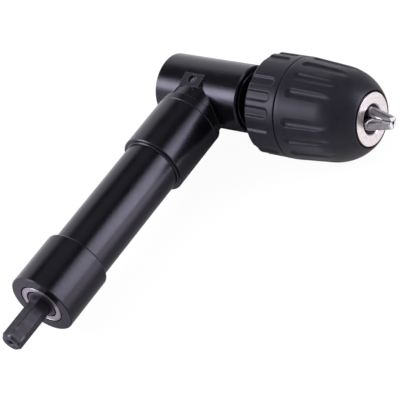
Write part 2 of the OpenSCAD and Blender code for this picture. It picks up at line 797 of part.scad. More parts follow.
// Front sleeve: three groups of five grip grooves that run out on the dome
module front_sleeve() {
    bottom_back = chuck_r - groove_depth_back;
    bottom_front = dome_r - groove_depth_front;
    fall = atan((bottom_back - bottom_front) / front_groove_run);
    web_x = ring_x - ring_t - 0.1;
    color("#2e2d33") difference() {
        along_chuck(0) rotate_extrude()
            polygon(concat(
                [[sleeve_r, front_x], [chuck_r - 0.35, front_x]],
                [[chuck_r, front_x + 0.35], [chuck_r, front_x + taper_from]],
                [for (p = arc(dome_c, dome_arc_r, 90 - taper, 90 - taper - dome_turn, 10)) [p[1], p[0]]],
                [
                    [nose_d / 2 + pass, nose_x],
                    [nose_d / 2 + pass, web_x],
                    [body_nose_r + pass, web_x],
                    [body_nose_r + pass, web_x - sleeve_web_t],
                    [sleeve_web_r, web_x - sleeve_web_t],
                    [sleeve_throat_r, nose_x - 11],
                    [sleeve_r, nut_x + nut_t + 2]
                ]
            ));
        for (group = [0 : front_groups - 1], i = [0 : front_grooves - 1])
            along_chuck(front_groove_x)
                rotate([0, 0, front_turn + 360 / front_groups * group + front_step * (i - 2)])
                    translate([bottom_back + front_groove_r, 0, 0]) {
                        sphere(front_groove_r);
                        rotate([0, -fall, 0]) cylinder(r = front_groove_r, h = front_groove_run + 8);
                    }
    }
}

// Groove that the thrust balls run in
module thrust_groove() {
    rotate_extrude() translate([thrust_r, 0]) circle(thrust_ball_r + run);
}

// Hardened washer behind the nut
module thrust_washer() {
    color("#a9a7ad") along_chuck(washer_x) difference() {
        ring(rod_outer(washer_x) + pass, body_core_r - slip, washer_t);
        translate([0, 0, thrust_x - washer_x]) thrust_groove();
    }
}

module thrust_balls() {
    color("#d6d5da") along_chuck(thrust_x)
        for (i = [0 : thrust_count - 1])
            rotate([0, 0, 360 * i / thrust_count]) translate([thrust_r, 0, 0]) sphere(thrust_ball_r);
}

// Nut that drives the jaws, split in two halves so that it can go round the body
module jaw_nut(turn) {
    inner_back = rod_outer(nut_x) + thread_gap;
    inner_front = rod_outer(nut_x + nut_t) + thread_gap;
    color("#7a7980") along_chuck(nut_x) difference() {
        rotate_extrude()
            polygon([[inner_back, 0], [nut_r - slip, 0], [nut_r - slip, nut_t], [inner_front, nut_t]]);
        translate([0, 0, thrust_x - nut_x]) thrust_groove();
        rotate([0, 0, turn]) translate([-chuck_r, -slip, -cut])
            cube([chuck_d, chuck_r, nut_t + 2 * cut]);
    }
}

module jaw_nut_half_1() {
    jaw_nut(0);
}

module jaw_nut_half_2() {
    jaw_nut(180);
}

// Steel band that holds the nut's halves together and drives them with the front sleeve
module nut_band() {
    color("#6b6a70") along_chuck(nut_x) ring(nut_r, band_r, nut_t);
}

module nose_ring() {
    color("#e4e2e2") along_chuck(ring_x - ring_t) difference() {
        bar(nose_d / 2, ring_t, 0, 0.5);
        translate([0, 0, -cut]) cylinder(r = body_nose_r + slip, h = ring_t - ring_lip_t + cut);
        cylinder(r = nose_hole_d / 2, h = ring_t + cut);
        translate([0, 0, ring_t - 0.4])
            cylinder(r1 = nose_hole_d / 2, r2 = nose_hole_d / 2 + 0.6, h = 0.6);
    }
}

// Jaw: a rod cut by two faces that meet its neighbours, with thread cuts on its outer side
module jaw(turn) {
    rod_len = (jaw_tip_x - jaw_back_x) / cos(jaw_slope);
    wide = 20;
    far = 12;
    color("#c6c4c8") difference() {
        intersection() {
            along_jaw(turn, jaw_back_x) cylinder(r = jaw_r, h = rod_len + 6);
            along_chuck(jaw_back_x - 2) rotate([0, 0, chuck_turn + turn])
                linear_extrude(jaw_tip_x - jaw_back_x + 2)
                    polygon([
                        [run, 0], [run + wide * cos(60), wide * sin(60)],
                        [2 * wide, 0], [run + wide * cos(60), -wide * sin(60)]
                    ]);
            along_chuck(jaw_tip_x) rotate_extrude()
                polygon([
                    [0, jaw_back_x - 2 - jaw_tip_x], [wide, jaw_back_x - 2 - jaw_tip_x],
                    [wide, -far * jaw_chamfer], [jaw_tip_r + far * jaw_chamfer_r, -far * jaw_chamfer],
                    [jaw_tip_r, 0], [0, 0]
                ]);
        }
        for (i = [0 : jaw_thread_rows - 1])
            let (x = jaw_back_x + 1.5 + i * jaw_thread_pitch, r = rod_outer(x))
                along_chuck(x) rotate_extrude()
                    polygon([[r - jaw_thread_depth, 0], [r + 1, -0.85], [r + 1, 0.85]]);
    }
}

module jaw_1() {
    jaw(jaw_turns[0]);
}

module jaw_2() {
    jaw(jaw_turns[1]);
}

module jaw_3() {
    jaw(jaw_turns[2]);
}

head_housing();
head_end_plug();
front_collar();
port_screw();
neck_sleeve();
main_tube();
rear_cap();
pinion_bearing_circlip();
outer_spacer();
rear_bearing_outer_race();
rear_bearing_shield();
rear_bearing_inner_race();
rear_bearing_cage();
rear_bearing_balls();
pinion_bearing_outer_races();
pinion_bearing_inner_races();
pinion_bearing_cages();
pinion_bearing_balls();
spindle_rear_outer_race();
spindle_rear_inner_race();
spindle_rear_cage();
spindle_rear_balls();
spindle_front_outer_race();
spindle_front_inner_race();
spindle_front_cage();
spindle_front_balls();
input_shaft();
inner_spacer();
drive_pinion();
pinion_pin();
output_spindle();
spindle_gear();
gear_pin();
chuck_body();
chuck_screw();
rear_sleeve();
nose_ring();
thrust_washer();
thrust_balls();
front_sleeve();
jaw_nut_half_1();
jaw_nut_half_2();
nut_band();
jaw_1();
jaw_2();
jaw_3();
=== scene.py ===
# %% [markdown]
# # A right angle drill attachment
# A hexagonal shank drives a shaft through a long leg, a pair of bevel gears turns the drive
# by 90 degrees, and a keyless chuck holds the tool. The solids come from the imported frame.
# This lesson gives them their surfaces: black enamel on the housing, moulded sleeves on the
# chuck, polished and ground steel at its nose, and a worn dark shank.

import json
import math

import bmesh
import bpy
import numpy as np
from mathutils import Matrix


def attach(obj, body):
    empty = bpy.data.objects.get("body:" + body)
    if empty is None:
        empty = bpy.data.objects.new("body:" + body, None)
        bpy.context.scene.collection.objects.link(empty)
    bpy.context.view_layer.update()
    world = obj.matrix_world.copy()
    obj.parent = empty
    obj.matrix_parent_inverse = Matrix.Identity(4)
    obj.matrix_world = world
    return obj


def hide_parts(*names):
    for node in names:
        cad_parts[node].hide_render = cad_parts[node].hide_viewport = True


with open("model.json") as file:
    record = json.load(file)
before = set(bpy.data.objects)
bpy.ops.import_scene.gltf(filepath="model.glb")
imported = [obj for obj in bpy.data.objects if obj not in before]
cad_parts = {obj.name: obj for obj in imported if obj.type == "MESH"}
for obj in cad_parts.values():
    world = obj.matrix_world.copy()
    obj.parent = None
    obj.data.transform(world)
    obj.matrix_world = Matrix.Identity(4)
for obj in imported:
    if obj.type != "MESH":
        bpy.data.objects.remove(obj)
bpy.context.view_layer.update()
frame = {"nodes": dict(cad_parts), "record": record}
nodes = frame["nodes"]
print("nodes:", len(nodes))

# %% [markdown]
# ## Two axes
# Every turned part sits on one of two axes that cross in the head. The leg runs along Y, and
# the chuck runs along X. Sizes are written in millimetres and turned to metres at the end,
# because Blender and the frame count in metres. A place on the leg is called s. It is counted
# from the chuck's axis towards the shank, and REACH is the place where the leg's cap ends.

# %% Axes and units
MM = 0.001
REACH = 123.2
SIXTH_TURN = math.pi / 3


def leg_points(radius, angle, s):
    """Point at a radius and angle round the leg, s from the chuck axis: (r cos a, reach - s, r sin a)."""
    return np.stack([radius * np.cos(angle), REACH - s, radius * np.sin(angle)], -1) * MM


def chuck_points(radius, angle, x):
    """Point at a radius and angle round the chuck, x from the leg: (x, reach + r cos a, r sin a)."""
    return np.stack([x, REACH + radius * np.cos(angle), radius * np.sin(angle)], -1) * MM


def angles(count):
    """Angles at even steps, once round an axis."""
    return np.linspace(0, 2 * math.pi, count, endpoint=False)


# %% [markdown]
# ## Outlines with rounded corners
# A turned part is an outline swept round an axis. No real edge is perfectly sharp, and the
# small round on each corner is what catches the light, so every corner becomes an arc. For a
# corner between two sides that meet at an angle t, an arc of radius r starts r / tan(t / 2)
# before the corner. A point just past each end of the arc keeps the shading of the flat side flat.

# %% Round the corners of an outline
MOST_OF_SIDE = 0.45  # the share of a side that one corner's arc may take
PAD_MM, PAD_SHARE = 0.06, 0.04  # how far past the arc the extra point lies


def unit_to(point, other):
    """Direction and distance from each point to another one: d / |d| and |d|."""
    away = other - point
    length = np.linalg.norm(away, axis=1, keepdims=True)
    return away / length, length


def rounded(corners, steps=5):
    """Closed outline of (along, radius, rounding) corners, each an arc that blends two spokes."""
    data = np.array(corners, float)
    point, size = data[:, :2], data[:, 2:3]
    back, back_len = unit_to(point, np.roll(point, 1, 0))
    ahead, ahead_len = unit_to(point, np.roll(point, -1, 0))
    shorter = np.minimum(back_len, ahead_len)
    cos_t = (back * ahead).sum(1, keepdims=True)
    half = np.arccos(np.clip(cos_t, -1, 1)) / 2
    reach = np.minimum(size / np.tan(half), MOST_OF_SIDE * shorter)
    size = reach * np.tan(half)
    middle = (back + ahead) / np.linalg.norm(back + ahead, axis=1, keepdims=True)
    centre = point + middle * size / np.sin(half)
    spoke_a = point + back * reach - centre
    spoke_b = point + ahead * reach - centre
    turn = (math.pi - 2 * half)[:, None, :]
    k = np.linspace(0, 1, steps + 1)[None, :, None]
    arc = (np.sin((1 - k) * turn) * spoke_a[:, None] + np.sin(k * turn) * spoke_b[:, None]) / np.sin(turn)
    arc = arc + centre[:, None]
    pad = np.minimum(PAD_MM, PAD_SHARE * shorter)
    first = point + back * (reach + pad)
    last = point + ahead * (reach + pad)
    return np.concatenate([first[:, None], arc, last[:, None]], 1).reshape(-1, 2)


# %% [markdown]
# ## From a grid of points to a piece
# Each surface is a grid: one direction goes round the axis and the other follows the outline.
# Both directions join up again, so the surface is closed. The faces are found by shifting the
# grid of point numbers by one, and the whole array goes into the mesh at once.

# %% Make a mesh from grids
WELD = 1e-7  # metres: points closer than this are one point
TOO_SHORT = 1e-8  # metres: an edge shorter than this is dissolved


def grid_faces(rows, columns, start):
    """Quads of a grid that closes in both directions: each joins a point, its right, and the row above."""
    number = start + np.arange(rows * columns).reshape(rows, columns)
    right = np.roll(number, -1, 1)
    above = np.roll(number, -1, 0)
    corner = np.roll(right, -1, 0)
    return np.stack([number, right, corner, above], -1).reshape(-1, 4)


def tidy(mesh):
    """Welds points that coincide and turns every face outwards."""
    work = bmesh.new()
    work.from_mesh(mesh)
    bmesh.ops.remove_doubles(work, verts=work.verts, dist=WELD)
    bmesh.ops.dissolve_degenerate(work, edges=work.edges, dist=TOO_SHORT)
    bmesh.ops.delete(work, geom=[e for e in work.edges if not e.link_faces], context="EDGES")
    bmesh.ops.recalc_face_normals(work, faces=work.faces)
    work.to_mesh(mesh)
    work.free()


def piece(name, grids, body, replaced, material, sharp_angle=40):
    """Joins closed grids of points into one object that rides on a body and stands for CAD nodes."""
    points = np.concatenate([g.reshape(-1, 3) for g in grids])
    starts = np.cumsum([0] + [g.shape[0] * g.shape[1] for g in grids])
    faces = np.concatenate([grid_faces(g.shape[0], g.shape[1], s) for g, s in zip(grids, starts)])
    mesh = bpy.data.meshes.new(name)
    mesh.from_pydata(points, [], faces.tolist())
    tidy(mesh)
    mesh.shade_smooth()
    mesh.set_sharp_from_angle(angle=math.radians(sharp_angle))
    mesh.materials.append(material)
    thing = bpy.data.objects.new(name, mesh)
    bpy.context.scene.collection.objects.link(thing)
    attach(thing, body)
    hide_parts(*replaced)
    print(name, len(mesh.polygons), "faces")
    return thing


def turned(outline, place, around=160):
    """Surface of revolution: the outline (along, radius) at every angle, put on an axis by place()."""
    along = np.broadcast_to(outline[:, 0], (around, len(outline)))
    radius = np.broadcast_to(outline[:, 1], (around, len(outline)))
    return place(radius, angles(around)[:, None], along)


# %% [markdown]
# ## Colours and nodes
# A colour picked from a screen is in sRGB, and the renderer counts in linear light, so one
# function changes it. A second one adds a shader node, sets what it is told and links what it
# is given. Nearly all values of a noise lie between 0.3 and 0.7, so a Map Range node stretches
# them between two levels. A Mix node keeps its sockets at fixed numbers, other ones for
# colours than for plain values, and they get names here.

# %% Colour and node helpers
NOISE = {"From Min": 0.3, "From Max": 0.7}
SHARE, UNDER, OVER, MIXED = 0, 6, 7, 2  # a Mix node's sockets for colours
FIRST, SECOND = 2, 3  # its sockets for plain values


def linear(hex_colour):
    """sRGB hex to linear RGBA: c / 12.92 below 0.04045, otherwise ((c + 0.055) / 1.055) ^ 2.4."""
    part = np.array([int(hex_colour[i:i + 2], 16) for i in (1, 3, 5)]) / 255
    value = np.where(part <= 0.04045, part / 12.92, ((part + 0.055) / 1.055) ** 2.4)
    return (*value.tolist(), 1.0)


def add(tree, kind, sockets=None, **settings):
    """Adds a node of a kind, with its settings, and sets or links its input sockets."""
    made = tree.nodes.new("ShaderNode" + kind)
    for key, value in settings.items():
        setattr(made, key, value)
    for key, value in (sockets or {}).items():
        if isinstance(value, bpy.types.NodeSocket):
            tree.links.new(value, made.inputs[key])
        else:
            made.inputs[key].default_value = value
    return made


def new_material(name):
    """Empty node material with its shader, and the object's own coordinates in millimetres."""
    material = bpy.data.materials.new(name)
    material.use_nodes = True
    tree = material.node_tree
    tree.nodes.clear()
    shader = add(tree, "BsdfPrincipled")
    add(tree, "OutputMaterial", {"Surface": shader.outputs[0]})
    place = add(tree, "TexCoord").outputs["Object"]
    in_mm = add(tree, "VectorMath", {0: place, "Scale": 1 / MM}, operation="SCALE").outputs[0]
    print("finish:", name)
    return material, tree, shader, in_mm


# %% [markdown]
# ## Tones, layers and distances
# No real surface has one even colour, so each finish drifts between two close tones. Wear, a
# milled flat or a dark seam is a colour that lies over the finish in some places. Such a place
# is often told by its distance from one of the two axes. An axis is given by a point on it and
# by the directions that count, so the direction along the axis counts nothing.

# %% Tones, overlays and distances
LEG_AXIS = ((0.0, 0.0, 0.0), (1.0, 0.0, 1.0))
CHUCK_AXIS = ((0.0, REACH, 0.0), (0.0, 1.0, 1.0))


def two_tones(tree, noise, first, second):
    """Colour between two tones, first (1 - t) + second t, with t the noise spread over its range."""
    tone = add(tree, "MapRange", {**NOISE, "Value": noise}).outputs[0]
    mixed = add(tree, "Mix", {SHARE: tone, UNDER: linear(first), OVER: linear(second)}, data_type="RGBA")
    return mixed.outputs[MIXED]


def overlay(tree, shader, share, colour):
    """Lays a colour over the shader's base colour: under (1 - share) + colour share."""
    under = shader.inputs["Base Color"].links[0].from_socket
    laid = add(tree, "Mix", {SHARE: share, UNDER: under, OVER: linear(colour)}, data_type="RGBA")
    tree.links.new(laid.outputs[MIXED], shader.inputs["Base Color"])


def distance_from(tree, at, centre, counted):
    """Distance from an axis: the length of (at - centre) times the directions that count."""
    away = add(tree, "VectorMath", {0: at, 1: centre}, operation="SUBTRACT").outputs[0]
    away = add(tree, "VectorMath", {0: away, 1: counted}, operation="MULTIPLY").outputs[0]
    return add(tree, "VectorMath", {0: away}, operation="LENGTH").outputs["Value"]


# %% [markdown]
# ## A dull flat and painted highlights on the lips
# Two places of the housing are paler than the rest. The flat round the grease port was milled,
# and its coat is thinner and duller. Along sharp lips a thin grey line is painted into the
# colour: a painted highlight, the glint that a small round on the lip would catch. A Bevel node
# gives the normal that a small round would have. Where it differs from the true one there is an edge.

# %% Masks for the enamel
PAD_S, PAD_Z, PAD_TILT = 6.6, 13.3, math.radians(14)
PAD_DEPTH, PAD_REACH = 0.06, 6.5
EDGE_WIDTH = 0.35 * MM


def milled_flat(tree, at):
    """1 on the port's flat, with d from its middle: |d . up| within its depth, |d| within its reach."""
    up = (0.0, -math.sin(PAD_TILT), math.cos(PAD_TILT))
    middle = (0.0, REACH - PAD_S, PAD_Z)
    from_port = add(tree, "VectorMath", {0: at, 1: middle}, operation="SUBTRACT").outputs[0]
    height = add(tree, "VectorMath", {0: from_port, 1: up}, operation="DOT_PRODUCT").outputs["Value"]
    reach = add(tree, "VectorMath", {0: from_port}, operation="LENGTH").outputs["Value"]
    level = add(tree, "Math", {0: height, 1: 0.0, 2: PAD_DEPTH}, operation="COMPARE").outputs[0]
    near = add(tree, "Math", {0: reach, 1: PAD_REACH}, operation="LESS_THAN").outputs[0]
    return add(tree, "Math", {0: level, 1: near}, operation="MULTIPLY").outputs[0]


def painted_lip_highlight(tree):
    """Where the painted highlight goes: 1 along an edge and 0 on a plain surface, from the rounded normal's
    dot product with the true one.
    """
    bent = add(tree, "Bevel", {"Radius": EDGE_WIDTH}, samples=6).outputs[0]
    true = add(tree, "NewGeometry").outputs["True Normal"]
    alike = add(tree, "VectorMath", {0: bent, 1: true}, operation="DOT_PRODUCT").outputs["Value"]
    return add(tree, "MapRange", {
        "Value": alike, "From Min": 0.86, "From Max": 0.97, "To Min": 1.0, "To Max": 0.0,
    }).outputs[0]


# %% [markdown]
# ## Black stoved enamel
# The housing is turned steel under a thin coat of gloss black enamel. The coat is almost
# black by itself, and nearly all that the eye sees is what it reflects: soft bands along each
# tube. Its surface is very slightly uneven, like orange peel, with waves about 1.5 mm long,
# and that breaks the edges of the bands. Grains of 0.3 mm and patches of 8 mm make its gloss
# uneven. Enamel is a resin, so it isn't metallic, and its IOR is about 1.5.

# %% Enamel
def make_enamel():
    """Dark resin with broad and fine waves in its surface, uneven gloss, painted highlights on the lips and
    a dull flat.
    """
    material, tree, shader, at = new_material("black stoved enamel")
    peel = add(tree, "TexNoise", {"Vector": at, "Scale": 0.65, "Detail": 2.0}).outputs[0]
    fine = add(tree, "TexNoise", {"Vector": at, "Scale": 3.0, "Detail": 3.0}).outputs[0]
    patch = add(tree, "TexNoise", {"Vector": at, "Scale": 0.12, "Detail": 2.0}).outputs[0]
    tree.links.new(two_tones(tree, patch, "#08070a", "#0d0c10"), shader.inputs["Base Color"])
    milled = milled_flat(tree, at)
    overlay(tree, shader, milled, "#1e1d21")
    # Painted highlight: a pale grey line laid into the colour along sharp lips.
    overlay(tree, shader, painted_lip_highlight(tree), "#66646c")

    grains = add(tree, "MapRange", {**NOISE, "Value": fine, "To Min": 0.15, "To Max": 0.24}).outputs[0]
    patches = add(tree, "MapRange", {**NOISE, "Value": patch, "To Max": 0.07}).outputs[0]
    duller = add(tree, "Math", {0: milled, 1: 0.25}, operation="MULTIPLY").outputs[0]
    mottled = add(tree, "Math", {0: grains, 1: patches}, operation="ADD").outputs[0]
    gloss = add(tree, "Math", {0: mottled, 1: duller}, operation="ADD").outputs[0]
    tree.links.new(gloss, shader.inputs["Roughness"])
    shader.inputs["IOR"].default_value = 1.55
    shader.inputs["Specular Tint"].default_value = linear("#dedbef")

    waves = add(tree, "Bump", {"Height": peel, "Strength": 0.35, "Distance": 0.06 * MM}).outputs[0]
    grain = add(tree, "Bump", {"Height": fine, "Strength": 0.3, "Distance": 0.02 * MM, "Normal": waves})
    tree.links.new(grain.outputs[0], shader.inputs["Normal"])
    return material


enamel = make_enamel()

# %% [markdown]
# ## Moulded nylon
# Both sleeves are glass-filled nylon, moulded in a tool with a fine spark-eroded texture. It
# scatters light widely, so the grooves read by soft shading and not by sharp reflections. The
# real texture has grains of about 0.1 mm. They are drawn at 0.35 mm, so that they still show
# as a faint mottling.

# %% Nylon
def make_nylon():
    """Dark grey resin with fine grains and a faint large mottling."""
    material, tree, shader, at = new_material("moulded nylon")
    grain = add(tree, "TexNoise", {"Vector": at, "Scale": 2.8, "Detail": 3.0}).outputs[0]
    mottle = add(tree, "TexNoise", {"Vector": at, "Scale": 0.3, "Detail": 3.0}).outputs[0]
    tree.links.new(two_tones(tree, mottle, "#1d1c22", "#232229"), shader.inputs["Base Color"])
    gloss = add(tree, "MapRange", {**NOISE, "Value": grain, "To Min": 0.33, "To Max": 0.43}).outputs[0]
    tree.links.new(gloss, shader.inputs["Roughness"])
    shader.inputs["IOR"].default_value = 1.53
    shader.inputs["Specular IOR Level"].default_value = 0.4
    shader.inputs["Specular Tint"].default_value = linear("#e4e1f2")
    bump = add(tree, "Bump", {"Height": grain, "Strength": 0.35, "Distance": 0.05 * MM})
    tree.links.new(bump.outputs[0], shader.inputs["Normal"])
    return material


nylon = make_nylon()

# %% [markdown]
# ## Bright turned steel
# The nose ring and the bearing are bare steel, turned on a lathe. The tool leaves fine rings
# round the axis. The distance from the axis, sqrt(y2 + z2), feeds a noise, so that the same
# value comes back all the way round, and that makes the rings. The nose ring's outer edge
# turns down into the gap beside the sleeve, and there its colour is darkened: painted shade.

# %% Turned steel
NO_SHADE_RADIUS = 99.0  # a radius that no piece reaches, in mm
SHADE_FADE = 0.06


def make_turned_steel(name, axis, bright, dull, roughness, ring_mm, depth_mm, edge=NO_SHADE_RADIUS):
    """Metal with rings, a noise of the distance from the axis. Beyond the edge's radius its colour is
    darkened, painted shade.
    """
    material, tree, shader, at = new_material(name)
    radius = distance_from(tree, at, *axis)
    rings = add(tree, "TexNoise", {"W": radius, "Scale": 1 / ring_mm, "Detail": 2.0},
                noise_dimensions="1D").outputs[0]
    cloud = add(tree, "TexNoise", {"Vector": at, "Scale": 0.8, "Detail": 2.0}).outputs[0]
    colour = two_tones(tree, cloud, bright, dull)
    # Painted shade: past the edge's radius the colour falls to a twentieth, for the shaded gap.
    unshaded = add(tree, "MapRange", {
        "Value": radius, "From Min": edge, "From Max": edge + SHADE_FADE, "To Min": 1.0, "To Max": 0.05,
    }).outputs[0]
    colour = add(tree, "VectorMath", {0: colour, "Scale": unshaded}, operation="SCALE").outputs[0]
    tree.links.new(colour, shader.inputs["Base Color"])
    shader.inputs["Metallic"].default_value = 1.0
    gloss = add(tree, "MapRange", {
        **NOISE, "Value": rings, "To Min": roughness, "To Max": roughness + 0.08,
    }).outputs[0]
    tree.links.new(gloss, shader.inputs["Roughness"])
    bump = add(tree, "Bump", {"Height": rings, "Strength": 0.5, "Distance": depth_mm * MM})
    tree.links.new(bump.outputs[0], shader.inputs["Normal"])
    return material


# Painted shade darkens the nose ring past 10.72 mm, where its edge turns into the gap.
ring_steel = make_turned_steel(
    "polished ring steel", CHUCK_AXIS, "#ebe7e4", "#dfdad7",
    roughness=0.26, ring_mm=0.25, depth_mm=0.004, edge=10.72)
# Painted shade: the inner race is coloured darker than the outer one, for the shade round the shank.
shaded_inner_steel = make_turned_steel(
    "inner race steel with painted shade", LEG_AXIS, "#625f66", "#504d54",
    roughness=0.34, ring_mm=0.2, depth_mm=0.006)
race_steel = make_turned_steel(
    "ground bearing steel", LEG_AXIS, "#d3cccc", "#bdb6b8",
    roughness=0.28, ring_mm=0.2, depth_mm=0.006)

# %% [markdown]
# ## Drawn, ground and blackened steel
# A grinding wheel or a drawing die leaves fine straight lines along the steel. They are a
# noise whose coordinates are squeezed along the lines' direction, so that each grain of it
# becomes long and thin. Grains of 0.3 mm make the lines and clouds of 2 mm the uneven tone.

# %% Lined steel
LINE_DEPTH = 0.008 * MM


def make_lined_steel(name, pale, dark, metallic, roughness, squeeze):
    """Steel with fine lines: a noise of coordinates squeezed along the lines' direction."""
    material, tree, shader, at = new_material(name)
    drawn = add(tree, "VectorMath", {0: at, 1: squeeze}, operation="MULTIPLY").outputs[0]
    lines = add(tree, "TexNoise", {"Vector": drawn, "Scale": 3.5, "Detail": 3.0}).outputs[0]
    cloud = add(tree, "TexNoise", {"Vector": at, "Scale": 0.5, "Detail": 4.0}).outputs[0]
    tree.links.new(two_tones(tree, cloud, dark, pale), shader.inputs["Base Color"])
    shader.inputs["Metallic"].default_value = metallic
    gloss = add(tree, "MapRange", {
        **NOISE, "Value": lines, "To Min": roughness - 0.05, "To Max": roughness + 0.08,
    }).outputs[0]
    tree.links.new(gloss, shader.inputs["Roughness"])
    bump = add(tree, "Bump", {"Height": lines, "Strength": 0.4, "Distance": LINE_DEPTH})
    tree.links.new(bump.outputs[0], shader.inputs["Normal"])
    return material, tree, shader, at


# %% [markdown]
# ## The shank's worn oxide
# The shank is blackened in hot salts, which leaves a thin dark grey oxide with little gloss.
# A drill's jaws clamp it again and again, so the six corners near the end and the chamfer have
# lost some of it, and bare steel shows in broken spots.

# %% Oxide and its wear
CORNER_R = (4.36, 4.5)  # the wear starts and is full at these distances from the axis
CLAMPED_Y = (-18.5, -11.0)  # along this length the corners' wear fades out
CHAMFER_Y = (-19.6, -19.2)


def wear(tree, shader, at):
    """Bare steel where broken x max(corner x fade, chamfer) is high, with broken a noise of 1.7 mm."""
    radius = distance_from(tree, at, *LEG_AXIS)
    along = add(tree, "SeparateXYZ", {0: at}).outputs["Y"]
    corner = add(tree, "MapRange", {
        "Value": radius, "From Min": CORNER_R[0], "From Max": CORNER_R[1],
    }).outputs[0]
    fade = add(tree, "MapRange", {
        "Value": along, "From Min": CLAMPED_Y[0], "From Max": CLAMPED_Y[1], "To Min": 0.5, "To Max": 0.0,
    }).outputs[0]
    chamfer = add(tree, "MapRange", {
        "Value": along, "From Min": CHAMFER_Y[0], "From Max": CHAMFER_Y[1], "To Min": 0.28, "To Max": 0.0,
    }).outputs[0]
    corner = add(tree, "Math", {0: corner, 1: fade}, operation="MULTIPLY").outputs[0]
    rubbed = add(tree, "Math", {0: corner, 1: chamfer}, operation="MAXIMUM").outputs[0]
    spots = add(tree, "TexNoise", {"Vector": at, "Scale": 0.6, "Detail": 4.0}).outputs[0]
    broken = add(tree, "MapRange", {"Value": spots, "From Min": 0.42, "From Max": 0.62}).outputs[0]
    share = add(tree, "Math", {0: rubbed, 1: broken}, operation="MULTIPLY").outputs[0]
    overlay(tree, shader, share, "#a9a6ad")


shank_oxide, shank_tree, shank_shader, shank_at = make_lined_steel(
    "hot blackened steel", "#45434b", "#37353c", metallic=0.78, roughness=0.41, squeeze=(1.0, 0.1, 1.0))
wear(shank_tree, shank_shader, shank_at)

# %% [markdown]
# ## The jaws
# The three jaws are hardened and ground along their length. Beside each seam where two of them
# meet, and at each tip, their colour is brightened by a painted highlight, and these are the
# brightest spots of the whole object. The seams themselves and the hole in the middle are
# darkened by painted shade. The jaws are alike, so the angle round the chuck is folded into one
# third, counted from a seam, and |sin a| times the radius is then the distance from the seam.

# %% Jaw steel
SEAM_ANGLE = math.radians(5.5)
TIP_X = (89.3, 89.5)


def seam_distance(tree, height, across, radius):
    """Distance from the nearest seam's plane: |sin(a)| r, with a folded to within 60 degrees of a seam."""
    angle = add(tree, "Math", {0: height, 1: across}, operation="ARCTAN2").outputs[0]
    angle = add(tree, "Math", {0: angle, 1: SEAM_ANGLE}, operation="SUBTRACT").outputs[0]
    folded = add(tree, "Math", {0: angle, 1: SIXTH_TURN, 2: -SIXTH_TURN}, operation="WRAP").outputs[0]
    side = add(tree, "Math", {0: folded}, operation="SINE").outputs[0]
    side = add(tree, "Math", {0: side}, operation="ABSOLUTE").outputs[0]
    return add(tree, "Math", {0: side, 1: radius}, operation="MULTIPLY").outputs[0]


def paint_jaw_light_and_shade(tree, shader, at):
    """Painted highlights beside the seams and at the tips, then painted shade on the seams and the middle.
    """
    apart = add(tree, "SeparateXYZ", {0: at})
    radius = distance_from(tree, at, *CHUCK_AXIS)
    across = add(tree, "Math", {0: apart.outputs["Y"], 1: REACH}, operation="SUBTRACT").outputs[0]
    from_seam = seam_distance(tree, apart.outputs["Z"], across, radius)
    # Painted highlight: pale colour beside the seams and at the tips.
    beside = add(tree, "MapRange", {
        "Value": from_seam, "From Min": 0.6, "From Max": 1.4, "To Min": 1.0, "To Max": 0.0,
    }).outputs[0]
    tip = add(tree, "MapRange", {
        "Value": apart.outputs["X"], "From Min": TIP_X[0], "From Max": TIP_X[1],
    }).outputs[0]
    painted_highlight = add(tree, "Math", {0: beside, 1: tip}, operation="MAXIMUM").outputs[0]
    overlay(tree, shader, painted_highlight, "#f2f0f4")

    # Painted shade: dark colour on the seams and in the middle of the hole.
    off_seam = add(tree, "MapRange", {"Value": from_seam, "From Min": 0.06, "From Max": 0.3}).outputs[0]
    off_middle = add(tree, "MapRange", {"Value": radius, "From Min": 0.6, "From Max": 1.0}).outputs[0]
    unshaded = add(tree, "Math", {0: off_seam, 1: off_middle}, operation="MULTIPLY").outputs[0]
    dark = add(tree, "Math", {0: 1.0, 1: unshaded}, operation="SUBTRACT").outputs[0]
    overlay(tree, shader, dark, "#141316")


jaw_steel, jaw_tree, jaw_shader, jaw_at = make_lined_steel(
    "ground jaw steel", "#bdb8bf", "#9d99a0", metallic=1.0, roughness=0.2, squeeze=(0.12, 1.0, 1.0))
paint_jaw_light_and_shade(jaw_tree, jaw_shader, jaw_at)

# %% [markdown]
# ## The other steels
# The grease port's screw is zinc plated, and it glints in its hole. The spindle is blackened
# like the shank but isn't worn. The gears show the grey of hobbed steel. The bearings' cages are
# pressed sheet, coloured dark as painted shade for the gap where they show. These four need no
# layer of their own.

# %% Screw, spindle, gears and cages
EVEN = (1.0, 1.0, 1.0)

screw_steel = make_lined_steel(
    "zinc plated screw steel", "#e4e2e5", "#c9c7cb", metallic=1.0, roughness=0.2, squeeze=EVEN)[0]
spindle_oxide = make_lined_steel(
    "blackened spindle steel", "#34333a", "#26252b",
    metallic=0.75, roughness=0.4, squeeze=(0.1, 1.0, 1.0))[0]
gear_steel = make_lined_steel(
    "hobbed gear steel", "#8a888f", "#6f6d74", metallic=1.0, roughness=0.34, squeeze=EVEN)[0]
# Painted shade: the cages are coloured dark so that the gap between the races reads black.
cage_steel = make_lined_steel(
    "cage steel with painted shade", "#3b393e", "#2a282c", metallic=1.0, roughness=0.45, squeeze=(1.0, 1.0, 0.2))[0]

# %% [markdown]
# ## Finishes for the solids that stay
# Many solids already have the right shape, such as the head with its two crossing cylinders,
# or the balls of the bearings. They stay as they are and get a finish by the name of their
# slot. Three of them share a slot with other pieces but look different, and go by their own
# name.

